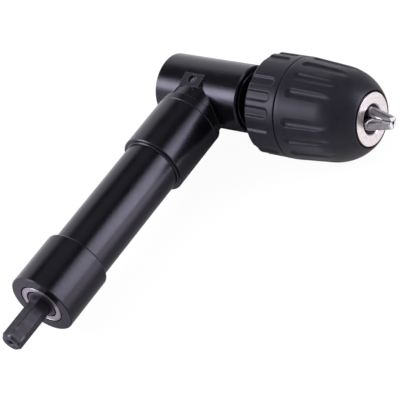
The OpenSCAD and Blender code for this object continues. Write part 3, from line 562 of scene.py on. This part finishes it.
# %% Paint the solids
finish_of_slot = {
    "black_steel": enamel,
    "dark_steel": spindle_oxide,
    "screw_steel": shank_oxide,
    "bearing_steel": race_steel,
    "cage_steel": cage_steel,
    "nut_steel": gear_steel,
    "sleeve_plastic": nylon,
    "bright_ring": ring_steel,
    "jaw_steel": jaw_steel,
}
finish_of_node = {"drive_pinion": gear_steel, "spindle_gear": gear_steel, "port_screw": screw_steel}
for part in frame["record"]["subparts"]:
    finish = finish_of_node.get(part["node"], finish_of_slot[part["material_slot"]])
    slots = nodes[part["node"]].data.materials
    slots.clear()
    slots.append(finish)

# %% [markdown]
# ## The leg: neck sleeve, tube and cap
# Three plain turned pieces. What makes them look real is the small round at each lip, where
# a thin bright line shows, so each is an outline with its own rounding at each corner. The
# ends that face the shank have a chamfer of 0.4 mm, and a small bead of the same size stands
# past the neck sleeve's end. Both look in another direction than the wall beside them, and
# show as two thin lines.

# %% Leg pieces
NECK_S, NECK_END, CAP_S = 19.5, 44.9, 98.75
NECK_R, TUBE_R, CAP_R = 13.95, 12.05, 14.0
TUBE_START, TUBE_END, TUBE_BORE = 34.5, 112.75, 9.75
CHAMFER = 0.4
SLIP = 0.02  # the sleeves' bores clear the tube by this

neck = rounded([
    (NECK_S, TUBE_R + SLIP, 0.05), (NECK_S, NECK_R, 0.22),
    (NECK_END - CHAMFER, NECK_R, 0.06), (NECK_END, NECK_R - CHAMFER, 0.06),
    (NECK_END, TUBE_R + CHAMFER + SLIP, 0.06), (NECK_END + CHAMFER, TUBE_R + SLIP, 0.04),
])
piece("neck_tube", [turned(neck, leg_points, 200)], "housing", ["neck_sleeve"], enamel)

tube = rounded([
    (TUBE_START, TUBE_BORE, 0.1), (TUBE_START, TUBE_R, 0.1),
    (TUBE_END, TUBE_R, 0.1), (TUBE_END, TUBE_BORE, 0.1),
])
piece("leg_tube", [turned(tube, leg_points, 200)], "housing", ["main_tube"], enamel)

# %% [markdown]
# The cap holds the rear bearing in a seat that opens to the shank's side. The seat is a little
# wider near the opening, so that the bearing is easy to press in.

# %% Cap
BEARING_WIDE = 5.0
LEAD_IN, LEAD_IN_R, SEAT_R, CAP_BORE = 2.2, 9.6, 9.5, 8.5

cap = rounded([
    (CAP_S, TUBE_R + SLIP, 0.1), (CAP_S, CAP_R, 1.0),
    (REACH - CHAMFER, CAP_R, 0.06), (REACH, CAP_R - CHAMFER, 0.06),
    (REACH, LEAD_IN_R, 0.12), (REACH - LEAD_IN, LEAD_IN_R, 0.05),
    (REACH - LEAD_IN, SEAT_R, 0.05), (REACH - BEARING_WIDE, SEAT_R, 0.05),
    (REACH - BEARING_WIDE, CAP_BORE, 0.05), (TUBE_END, CAP_BORE, 0.05),
    (TUBE_END, TUBE_R + SLIP, 0.05),
])
piece("end_cap", [turned(cap, leg_points, 200)], "housing", ["rear_cap"], enamel)

# %% [markdown]
# ## The rear bearing
# Outer race, shield and inner race are what shows round the shank. The outer race's face
# slopes in towards the shield, which sits slightly back from it, and the shield's inner edge
# leaves a dark gap. The inner race's darker colour is painted shade, where it lies back round
# the shank.

# %% Bearing rings
OUTER_R, OUTER_BORE, FACE_R = 9.48, 8.29, 8.98
SHIELD_R, SHIELD_BORE = 8.56, 6.85
INNER_R = 6.2

outer_ring = rounded([
    (REACH - BEARING_WIDE, OUTER_BORE, 0.05), (REACH - BEARING_WIDE, OUTER_R, 0.35),
    (REACH - LEAD_IN, OUTER_R, 0.05), (REACH - LEAD_IN, FACE_R, 0.05),
    (REACH, FACE_R, 0.18), (REACH, 8.66, 0.08), (REACH - 0.12, 8.6, 0.04), (REACH - 0.5, OUTER_BORE, 0.04),
])
piece("race_outer", [turned(outer_ring, leg_points)], "housing", ["rear_bearing_outer_race"],
      race_steel)
shield = rounded([
    (REACH - 0.7, SHIELD_BORE, 0.05), (REACH - 0.7, 8.2, 0.03),
    (REACH - 0.06, SHIELD_R, 0.05), (REACH - 0.06, SHIELD_BORE, 0.12),
])
piece("race_shield", [turned(shield, leg_points)], "housing", ["rear_bearing_shield"],
      race_steel)
inner_ring = rounded([
    (REACH - BEARING_WIDE, 5.0, 0.05), (REACH - BEARING_WIDE, INNER_R, 0.2),
    (REACH, INNER_R, 0.2), (REACH, 5.02, 0.25),
])
piece("race_inner", [turned(inner_ring, leg_points)], "input", ["rear_bearing_inner_race"],
      shaded_inner_steel)

# %% [markdown]
# ## The shank
# A hexagon whose flats are h from the axis has the radius h / cos(a) at the angle a from the
# middle of a flat. The corners are softened by taking a soft minimum of that radius and a
# circle. The end is chamfered on a lathe, so the chamfer is a cone that cuts the six corners
# first and leaves curved edges on the flats. A drilled centre shows in the end.

# %% Hexagon and soft minimum
def soft_min(a, b, size):
    """Minimum of two values with a round of a given size where they cross."""
    h = np.clip(0.5 + 0.5 * (b - a) / size, 0, 1)
    return b * (1 - h) + a * h - size * h * (1 - h)


def hex_radius(angle, half_flat, turn):
    """Radius of a hexagon at an angle: half_flat / cos(a), with a folded into one sixth."""
    folded = (angle - turn) % SIXTH_TURN - SIXTH_TURN / 2
    return half_flat / np.cos(folded)


# %% Shank and shaft
HALF_FLAT, SHANK_END = 4.0, REACH + 20.2
HEX_TURN = math.radians(7.5)
PINION_SEAT_R, SEAT_ON_SHAFT_R, SHOULDER_R, SHAFT_R = 3.98, 4.98, 6.2, 4.5
BLANK_R, END_FACE_R, CENTRE_R = 4.8, 3.7, 1.2
PINION_S, SEAT_S, COLLAR_S, COLLAR_END, REAR_COLLAR_S = 5.43, 15.0, 32.0, 36.0, REACH - 8


def shank_outline():
    """The shaft's steps from the pinion to the rear bearing, then the round blank of the hexagon."""
    return rounded([
        (PINION_S, 0.0, 0.01), (PINION_S, PINION_SEAT_R, 0.4), (SEAT_S, PINION_SEAT_R, 0.1),
        (SEAT_S, SEAT_ON_SHAFT_R, 0.1), (COLLAR_S, SEAT_ON_SHAFT_R, 0.1), (COLLAR_S, SHOULDER_R, 0.2),
        (COLLAR_END, SHOULDER_R, 0.2), (COLLAR_END, SHAFT_R, 0.1),
        (REAR_COLLAR_S, SHAFT_R, 0.1), (REAR_COLLAR_S, SHOULDER_R, 0.2),
        (REACH - BEARING_WIDE, SHOULDER_R, 0.2), (REACH - BEARING_WIDE, SEAT_ON_SHAFT_R, 0.05),
        (REACH, SEAT_ON_SHAFT_R, 0.25), (REACH, BLANK_R, 0.05),
        (SHANK_END - 1.0, BLANK_R, 0.3), (SHANK_END, END_FACE_R, 0.12), (SHANK_END, CENTRE_R + 0.3, 0.1),
        (SHANK_END - 0.3, CENTRE_R, 0.05), (SHANK_END - 2.2, CENTRE_R, 0.2), (SHANK_END - 2.2, 0.0, 0.01),
    ], steps=6)


def shank_grid():
    """Radius over angle and place: soft minimum of the hexagon, its corner circle and the blank."""
    steps = shank_outline()
    angle = angles(480)[:, None]
    along, limit = steps[:, 0][None, :], steps[:, 1][None, :]
    corner_r = HALF_FLAT / math.cos(SIXTH_TURN / 2) - 0.06
    hexagon = soft_min(hex_radius(angle, HALF_FLAT, HEX_TURN), corner_r, 0.12)
    on_shank = (along > REACH + 0.01) & (limit > 2 * CENTRE_R)
    radius = np.where(on_shank, soft_min(hexagon, limit, 0.1), limit)
    return leg_points(radius, angle, along + 0 * angle)


piece("hex_shank", [shank_grid()], "input", ["input_shaft"], shank_oxide, sharp_angle=30)

# %% [markdown]
# ## The front sleeve's shape
# The front sleeve tapers slightly and then bends to the nose in one arc. The arc's centre
# follows from two demands: it meets the taper without a kink, and it ends at the nose ring.

# %% Dome
CHUCK_R = 20.8
FRONT_X, NOSE_X = 47.35, 79.95
TAPER_X, ARC_X, ARC_R, NOSE_R = FRONT_X + 1.5, FRONT_X + 18.2, 19.35, 12.1
NOWHERE = 99.0  # a radius past everything, in mm


def dome_radius(x):
    """Outside of the front sleeve: a slight taper, then an arc that meets it smoothly."""
    slope = math.atan((CHUCK_R - ARC_R) / (ARC_X - TAPER_X))
    dx, dr = NOSE_X - ARC_X, ARC_R - NOSE_R
    bend = (dx * dx + dr * dr) / (2 * (dr * math.cos(slope) - dx * math.sin(slope)))
    middle_x, middle_r = ARC_X - bend * math.sin(slope), ARC_R - bend * math.cos(slope)
    taper = CHUCK_R - np.maximum(x - TAPER_X, 0) * math.tan(slope)
    arc = middle_r + np.sqrt(np.maximum(bend ** 2 - (x - middle_x) ** 2, 0))
    return np.where(x < ARC_X, taper, arc)


# %% [markdown]
# ## The front sleeve's grip grooves
# There are three groups of five grooves. Each was cut in the mould by a round nosed tool that
# starts in a rounded end and runs out over the dome, so a groove is part of a slightly sloping
# cylinder. Where the groove is deeper than the sleeve's own surface, the groove wins, and a
# soft minimum between them gives the moulded edge its round.

# %% Grooves
TOOL_R, TOOL_START_X, TOOL_RUN = 2.4, 53.1, 22.0
FLOOR_START, FLOOR_END = CHUCK_R - 1.3, ARC_R - 1.55


def nearest(angle, middles):
    """Angle to the nearest of some middles, folded to within half a turn."""
    away = (angle[..., None] - middles + math.pi) % (2 * math.pi) - math.pi
    return np.abs(away).min(-1)


def group_angles(first_deg, groups, per_group, step_deg):
    """Middles of grooves in even groups: first + group x 360 / groups + step x place in the group."""
    group = np.arange(groups)[:, None] * 360 / groups
    place = np.arange(per_group)[None, :] - (per_group - 1) / 2
    return np.radians(first_deg + group + step_deg * place).ravel()


def groove_floor(angle, x, middles):
    """Radius of the nearest groove, t from its middle: a cos t - sqrt(r2 - (a sin t)2), the tool at a."""
    fall = (FLOOR_START - FLOOR_END) / TOOL_RUN
    tool_axis = FLOOR_START + TOOL_R - fall * (x - TOOL_START_X)
    turn = nearest(angle, middles)
    before = np.maximum(TOOL_START_X - x, 0)
    inside = TOOL_R ** 2 - (tool_axis * np.sin(turn)) ** 2 - before ** 2
    return np.where(inside > 0, tool_axis * np.cos(turn) - np.sqrt(np.maximum(inside, 0)), NOWHERE)


# %% [markdown]
# ## The sleeves as grids
# Both sleeves are rings: a row of points along the outside, then a few corners back through
# the bore. Only the outside is pushed in by grooves or slots. Its points lie closer together
# where a groove starts or ends.

# %% Front sleeve
AROUND = 720
LIP = 0.35
EDGE_ROUND = 0.5


def sleeve_grid(outside_x, outside_r, inside, pushed_in):
    """Radius over angle and x: outside points changed by pushed_in(), then the bore's corners."""
    x = np.concatenate([outside_x, inside[:, 0]])
    r = np.concatenate([outside_r, inside[:, 1]])
    grid_a, grid_x = np.meshgrid(angles(AROUND), x, indexing="ij")
    radius = np.broadcast_to(r, grid_a.shape).copy()
    out = len(outside_x)
    radius[:, :out] = pushed_in(radius[:, :out], grid_a[:, :out], grid_x[:, :out])
    return chuck_points(radius, grid_a, grid_x)


def grooved(radius, angle, x):
    """The front sleeve's radius, or the grooves' floor where that is lower: their soft minimum."""
    middles = group_angles(75.5, 3, 5, 21.5)
    return soft_min(radius, groove_floor(angle, x, middles), EDGE_ROUND)


def front_sleeve_grid():
    """The dome with its grooves outside, then the edge at the nose, the ring's pocket and the bore."""
    outside_x = np.concatenate([
        FRONT_X + 0.1 + LIP * (1 - np.cos(np.linspace(0.25, math.pi / 2, 5))),
        np.linspace(FRONT_X + 0.6, 50.3, 8), np.linspace(50.6, 54.0, 18),
        np.linspace(54.4, 68, 31), np.linspace(68.4, NOSE_X - 0.25, 34),
    ])
    edge = np.maximum(FRONT_X + 0.1 + LIP - outside_x, 0)
    lip = CHUCK_R - LIP + np.sqrt(np.maximum(LIP ** 2 - edge ** 2, 0))
    outside_r = np.minimum(dome_radius(outside_x), np.where(edge > 0, lip, NOWHERE))
    inside = np.array([
        (NOSE_X - 0.06, 12.06), (NOSE_X, 11.95), (NOSE_X, 11.7), (NOSE_X - 0.08, 11.58),
        (NOSE_X - 0.3, 11.55), (76.95, 11.55), (76.95, 9.35), (74.95, 9.35), (74.95, 12.2),
        (68.65, 16.4), (63.0, 16.9), (FRONT_X + 0.1, 16.9), (FRONT_X + 0.1, 20.3),
    ])
    return sleeve_grid(outside_x, outside_r, inside, grooved)


piece("grip_sleeve", [front_sleeve_grid()], "sleeve", ["front_sleeve"], nylon,
      sharp_angle=60)

# %% [markdown]
# The rear sleeve has four groups of four shallow slots that run out into its rounded back
# edge and end in a half circle. How far a point is inside the slot's outline decides how far
# it sinks to the slot's floor, through a smooth step as wide as the moulded edge. The floor
# lies on a cylinder, and where the back edge's round is already below it, nothing sinks.

# %% Rear sleeve
REAR_X, JOINT_X = 32.9, 47.1
BACK_ROUND, SLOT_FLOOR_R = 1.1, CHUCK_R - 0.75
HALF_WIDE, SLOT_END_X, SLOT_EDGE = 1.8, REAR_X + 11.3, 1.2


def slotted(radius, angle, x):
    """Sinks the slots to their floor by a smooth step of the distance to their outline: t2 (3 - 2 t)."""
    middles = group_angles(137, 4, 4, 18)
    across = nearest(angle, middles) * (CHUCK_R - 0.4)
    ahead = np.maximum(x - (SLOT_END_X - HALF_WIDE), 0)
    inside = HALF_WIDE - np.sqrt(across ** 2 + ahead ** 2)
    t = np.clip(inside / SLOT_EDGE + 0.5, 0, 1)
    return radius - t * t * (3 - 2 * t) * np.maximum(radius - SLOT_FLOOR_R, 0)


def rear_sleeve_grid():
    """A plain ring with a round at its back and a lip at its front, pushed in by the slots."""
    outside_x = np.concatenate([
        REAR_X + BACK_ROUND * (1 - np.cos(np.linspace(0.15, math.pi / 2, 8))),
        np.linspace(REAR_X + BACK_ROUND + 0.3, 41.8, 18), np.linspace(42.1, 45.0, 20),
        np.linspace(45.4, 46.7, 4),
        JOINT_X - LIP * (1 - np.sin(np.linspace(0.1, math.pi / 2 - 0.05, 5))),
    ])
    back_edge = np.maximum(REAR_X + BACK_ROUND - outside_x, 0)
    front_edge = np.maximum(outside_x - (JOINT_X - LIP), 0)
    outside_r = (CHUCK_R - BACK_ROUND + np.sqrt(np.maximum(BACK_ROUND ** 2 - back_edge ** 2, 0))
                 - LIP + np.sqrt(np.maximum(LIP ** 2 - front_edge ** 2, 0)))
    inside = np.array([
        (JOINT_X, 20.3), (JOINT_X, 17.82), (35.1, 17.82), (35.1, 10.52), (REAR_X, 10.52), (REAR_X, 19.6),
    ])
    return sleeve_grid(outside_x, outside_r, inside, slotted)


piece("back_sleeve", [rear_sleeve_grid()], "output", ["rear_sleeve"], nylon,
      sharp_angle=60)

# %% [markdown]
# ## The nose ring
# A polished ring, pressed on the chuck's body. Its outer and inner edges are rounded, and each
# shows as a thin line of another brightness. On the outer one this is also painted shade, from
# the ring's finish.

# %% Nose ring
RING_BACK, RING_FACE, RING_R, RING_HOLE = 77.05, 80.35, 11.2, 6.1

nose = rounded([
    (RING_BACK, 9.02, 0.05), (RING_BACK, RING_R, 0.05),
    (RING_FACE - 0.5, RING_R, 0.12), (RING_FACE, RING_R - 0.5, 0.12),
    (RING_FACE, RING_HOLE + 0.4, 0.12), (RING_FACE - 0.4, RING_HOLE, 0.12),
    (78.55, RING_HOLE, 0.1), (78.55, 9.02, 0.05),
], steps=7)
piece("nose_band", [turned(nose, chuck_points, 240)], "output", ["nose_ring"], ring_steel)

# %% [markdown]
# ## Camera
# The camera stands where the photographer's did. Its place and its three directions were
# found from the outlines of the round parts, and it has no depth of field.

# %% Camera
def make_camera():
    """Pinhole camera with a long lens. The columns of its matrix are right, up and back."""
    right = (0.77806, 0.53177, -0.33442)
    down = (0.1698, -0.69057, -0.70305)
    ahead = (-0.6048, 0.49023, -0.6276)
    place = (0.44852, -0.27076, 0.4312)
    data = bpy.data.cameras.new("camera")
    data.lens = 158.48
    data.sensor_width = 36.0
    data.clip_start = 0.01
    camera = bpy.data.objects.new("camera", data)
    matrix = np.eye(4)
    matrix[:3, :3] = np.array([right, [-v for v in down], [-v for v in ahead]]).T
    matrix[:3, 3] = place
    camera.matrix_world = Matrix(matrix.tolist())
    bpy.context.scene.collection.objects.link(camera)
    bpy.context.scene.camera = camera
    print("camera at", place, "with a lens of", data.lens, "mm")


make_camera()

# %% [markdown]
# ## Two soft boxes
# Glossy black things are lit by what they reflect, so the lamps are large. A photographer's
# soft box is a lamp behind white cloth, brightest in the middle of the cloth. One stands over
# the head's left and draws the bright band along the head. The other stands behind the right,
# and the long band on the leg is its reflection.

# %% Soft boxes
OBJECT_MIDDLE = np.array([0.03, 0.08, 0.0])
CLOTH_COLOUR = "#f5f2fe"
CLOTH_FALL = 1.1


def soften(data):
    """Makes a lamp's cloth brightest in its middle: strength (4 u (1 - u)) (4 v (1 - v)), to a power."""
    data.use_nodes = True
    tree = data.node_tree
    tree.nodes.clear()
    across = add(tree, "NewGeometry").outputs["Parametric"]
    left = add(tree, "VectorMath", {0: (1.0, 1.0, 1.0), 1: across}, operation="SUBTRACT").outputs[0]
    hill = add(tree, "VectorMath", {0: across, 1: left}, operation="MULTIPLY").outputs[0]
    hill = add(tree, "VectorMath", {0: hill, "Scale": 4.0}, operation="SCALE").outputs[0]
    sides = add(tree, "SeparateXYZ", {0: hill})
    level = add(tree, "Math", {0: sides.outputs[0], 1: sides.outputs[1]}, operation="MULTIPLY").outputs[0]
    level = add(tree, "Math", {0: level, 1: CLOTH_FALL}, operation="POWER").outputs[0]
    glow = add(tree, "Emission", {"Strength": level})
    add(tree, "OutputLight", {"Surface": glow.outputs[0]})


def soft_box(name, direction, distance, width, height, watts):
    """Rectangular lamp in a direction from the object's middle, turned to face it."""
    unit = np.array(direction, float)
    unit = unit / np.linalg.norm(unit)
    data = bpy.data.lights.new(name, "AREA")
    data.shape = "RECTANGLE"
    data.size, data.size_y = width, height
    data.energy = watts
    data.color = linear(CLOTH_COLOUR)[:3]
    soften(data)
    lamp = bpy.data.objects.new(name, data)
    side = np.cross([0.0, 0.0, 1.0], unit)
    side = side / np.linalg.norm(side)
    matrix = np.eye(4)
    matrix[:3, :3] = np.array([side, np.cross(unit, side), unit]).T
    matrix[:3, 3] = OBJECT_MIDDLE + unit * distance
    lamp.matrix_world = Matrix(matrix.tolist())
    lamp.visible_camera = False
    bpy.context.scene.collection.objects.link(lamp)
    print(name, watts, "W")


soft_box("box over the head's left", (-0.605, -0.533, 0.592),
         distance=0.8, width=0.6, height=0.44, watts=7.4)
soft_box("box behind the right", (0.82, 0.49, 0.13),
         distance=0.75, width=0.5, height=1.2, watts=12.0)

# %% [markdown]
# ## The room
# A pale room stands all round. Its walls are bright at the left and dimmer at the right, and
# they end in a dark ceiling with a grey patch overhead, so a glossy tube shows a pale edge, a
# dark stripe and a soft band. The camera itself sees plain white, and a dull surface gets an
# even light.

# %% World
DULL_LEVEL = 0.6


def ray_kinds(tree):
    """1 for rays from the camera, and 1 for mirrored or refracted ones: max(glossy, transmission)."""
    path = add(tree, "LightPath")
    shiny = add(tree, "Math", {0: path.outputs["Is Glossy Ray"], 1: path.outputs["Is Transmission Ray"]},
                operation="MAXIMUM").outputs[0]
    return path.outputs["Is Camera Ray"], shiny


def make_world():
    """White to the camera, an even level to dull surfaces, and to glossy ones walls and a ceiling."""
    world = bpy.data.worlds.new("pale room")
    world.use_nodes = True
    tree = world.node_tree
    tree.nodes.clear()
    sides = add(tree, "SeparateXYZ", {0: add(tree, "TexCoord").outputs["Generated"]})
    pale = add(tree, "MapRange", {
        "Value": sides.outputs["X"], "From Min": -0.45, "From Max": 0.05, "To Min": 1.12, "To Max": 0.28,
    }).outputs[0]
    walls = add(tree, "MapRange", {
        "Value": sides.outputs["Z"], "From Min": 0.54, "From Max": 0.755, "To Min": pale, "To Max": 0.05,
    }, interpolation_type="SMOOTHSTEP").outputs[0]
    ceiling = add(tree, "MapRange", {
        "Value": sides.outputs["Z"], "From Min": 0.8, "From Max": 0.87, "To Min": 0.0, "To Max": 0.4,
    }, interpolation_type="SMOOTHSTEP").outputs[0]
    room = add(tree, "Math", {0: walls, 1: ceiling}, operation="MAXIMUM").outputs[0]
    camera_ray, shiny = ray_kinds(tree)
    level = add(tree, "Mix", {SHARE: shiny, FIRST: DULL_LEVEL, SECOND: room}, data_type="FLOAT").outputs[0]
    level = add(tree, "Mix", {SHARE: camera_ray, FIRST: level, SECOND: 1.0}, data_type="FLOAT").outputs[0]
    tint = add(tree, "Mix", {SHARE: camera_ray, UNDER: linear("#f6f4fa"), OVER: linear("#ffffff")},
               data_type="RGBA").outputs[MIXED]
    shade = add(tree, "Background", {"Color": tint, "Strength": level})
    add(tree, "OutputWorld", {"Surface": shade.outputs[0]})
    bpy.context.scene.world = world


make_world()

# %% [markdown]
# ## The floor
# The object lies on a large white sheet of paper. The camera sees it nearly white, with a
# soft shadow. What the glossy coat reflects of it isn't even: the paper is brightest at the
# left, dim in the middle and mid bright at the right, dark where the head shades it, slightly
# violet near the shank's end, and a little shiny at the right, where it mirrors the box behind.

# %% What the floor shows in reflections
LOW = -20.85 * MM
PAPER_REACH = 1.5
PLAIN_LEVEL = 1.07
UNDER_HEAD = (0.0, 0.125, LOW)


def reflected_level(tree, place, side):
    """Brightness in reflections: max(left, right) times a shade that grows dark under the head."""
    left = add(tree, "MapRange", {
        "Value": side, "From Min": -0.07, "From Max": 0.01, "To Min": 1.38, "To Max": 0.42,
    }).outputs[0]
    right = add(tree, "MapRange", {
        "Value": side, "From Min": 0.02, "From Max": 0.08, "To Min": 0.42, "To Max": 0.92,
    }).outputs[0]
    lit = add(tree, "Math", {0: left, 1: right}, operation="MAXIMUM").outputs[0]
    from_head = add(tree, "VectorMath", {0: place, 1: UNDER_HEAD}, operation="DISTANCE").outputs["Value"]
    shade = add(tree, "MapRange", {
        "Value": from_head, "From Min": 0.012, "From Max": 0.06, "To Min": 0.05, "To Max": 1.0,
    }).outputs[0]
    return add(tree, "Math", {0: lit, 1: shade}, operation="MULTIPLY").outputs[0]


def reflected_tint(tree, side, along):
    """Colour in reflections: cool at the left, warm at the right, violet near the shank's end."""
    warm = add(tree, "MapRange", {"Value": side, "From Min": 0.03, "From Max": 0.07}).outputs[0]
    cloth = add(tree, "Mix", {SHARE: warm, UNDER: linear("#e8e6f0"), OVER: linear("#f2f0ed")},
                data_type="RGBA").outputs[MIXED]
    beside = add(tree, "MapRange", {
        "Value": side, "From Min": -0.02, "From Max": 0.05, "To Min": 1.0, "To Max": 0.0,
    }).outputs[0]
    ended = add(tree, "MapRange", {
        "Value": along, "From Min": -0.02, "From Max": 0.01, "To Min": 1.0, "To Max": 0.0,
    }).outputs[0]
    near_end = add(tree, "Math", {0: beside, 1: ended}, operation="MULTIPLY").outputs[0]
    return add(tree, "Mix", {SHARE: near_end, UNDER: cloth, OVER: linear("#d9d2e8")},
               data_type="RGBA").outputs[MIXED]


# %% Floor
PAPER_GLOW = 0.88  # how far the camera sees glow and not the lit paper, so the shadow stays faint
SHEEN_ROUGHNESS, SHEEN_SHARE = 0.15, 0.4


def make_paper():
    """White paper lit by the lamps, covered by a glow for the camera and for reflections."""
    material = bpy.data.materials.new("pale floor")
    material.use_nodes = True
    tree = material.node_tree
    tree.nodes.clear()
    camera_ray, shiny = ray_kinds(tree)
    place = add(tree, "TexCoord").outputs["Object"]
    apart = add(tree, "SeparateXYZ", {0: place})
    side = apart.outputs["X"]
    seen = reflected_level(tree, place, side)
    strength = add(tree, "Mix", {SHARE: shiny, FIRST: PLAIN_LEVEL, SECOND: seen},
                   data_type="FLOAT").outputs[0]
    cloth = reflected_tint(tree, side, apart.outputs["Y"])
    tint = add(tree, "Mix", {SHARE: shiny, UNDER: linear("#ffffff"), OVER: cloth},
               data_type="RGBA").outputs[MIXED]
    paper = add(tree, "BsdfDiffuse", {"Color": linear("#f4f3f2")}).outputs[0]
    glow = add(tree, "Emission", {"Color": tint, "Strength": strength}).outputs[0]
    plain = add(tree, "Math", {0: camera_ray, 1: PAPER_GLOW}, operation="MULTIPLY").outputs[0]
    share = add(tree, "Math", {0: shiny, 1: plain}, operation="MAXIMUM").outputs[0]
    mixed = add(tree, "MixShader", {0: share, 1: paper, 2: glow}).outputs[0]

    at_right = add(tree, "MapRange", {
        "Value": side, "From Min": 0.03, "From Max": 0.07, "To Min": 0.0, "To Max": SHEEN_SHARE,
    }).outputs[0]
    mirrored = add(tree, "Math", {0: shiny, 1: at_right}, operation="MULTIPLY").outputs[0]
    sheen = add(tree, "BsdfGlossy", {"Color": linear("#f6f0f4"), "Roughness": SHEEN_ROUGHNESS}).outputs[0]
    polished = add(tree, "MixShader", {0: mirrored, 1: mixed, 2: sheen}).outputs[0]
    add(tree, "OutputMaterial", {"Surface": polished})
    return material


def make_floor():
    """Square of paper just under the object's lowest point."""
    far = PAPER_REACH
    corners = [(-far, -far, LOW), (far, -far, LOW), (far, far, LOW), (-far, far, LOW)]
    mesh = bpy.data.meshes.new("floor")
    mesh.from_pydata(corners, [], [(0, 1, 2, 3)])
    mesh.materials.append(make_paper())
    floor = bpy.data.objects.new("floor", mesh)
    bpy.context.scene.collection.objects.link(floor)
    print("floor at", LOW, "m")


make_floor()
bpy.context.scene.view_settings.view_transform = "Standard"
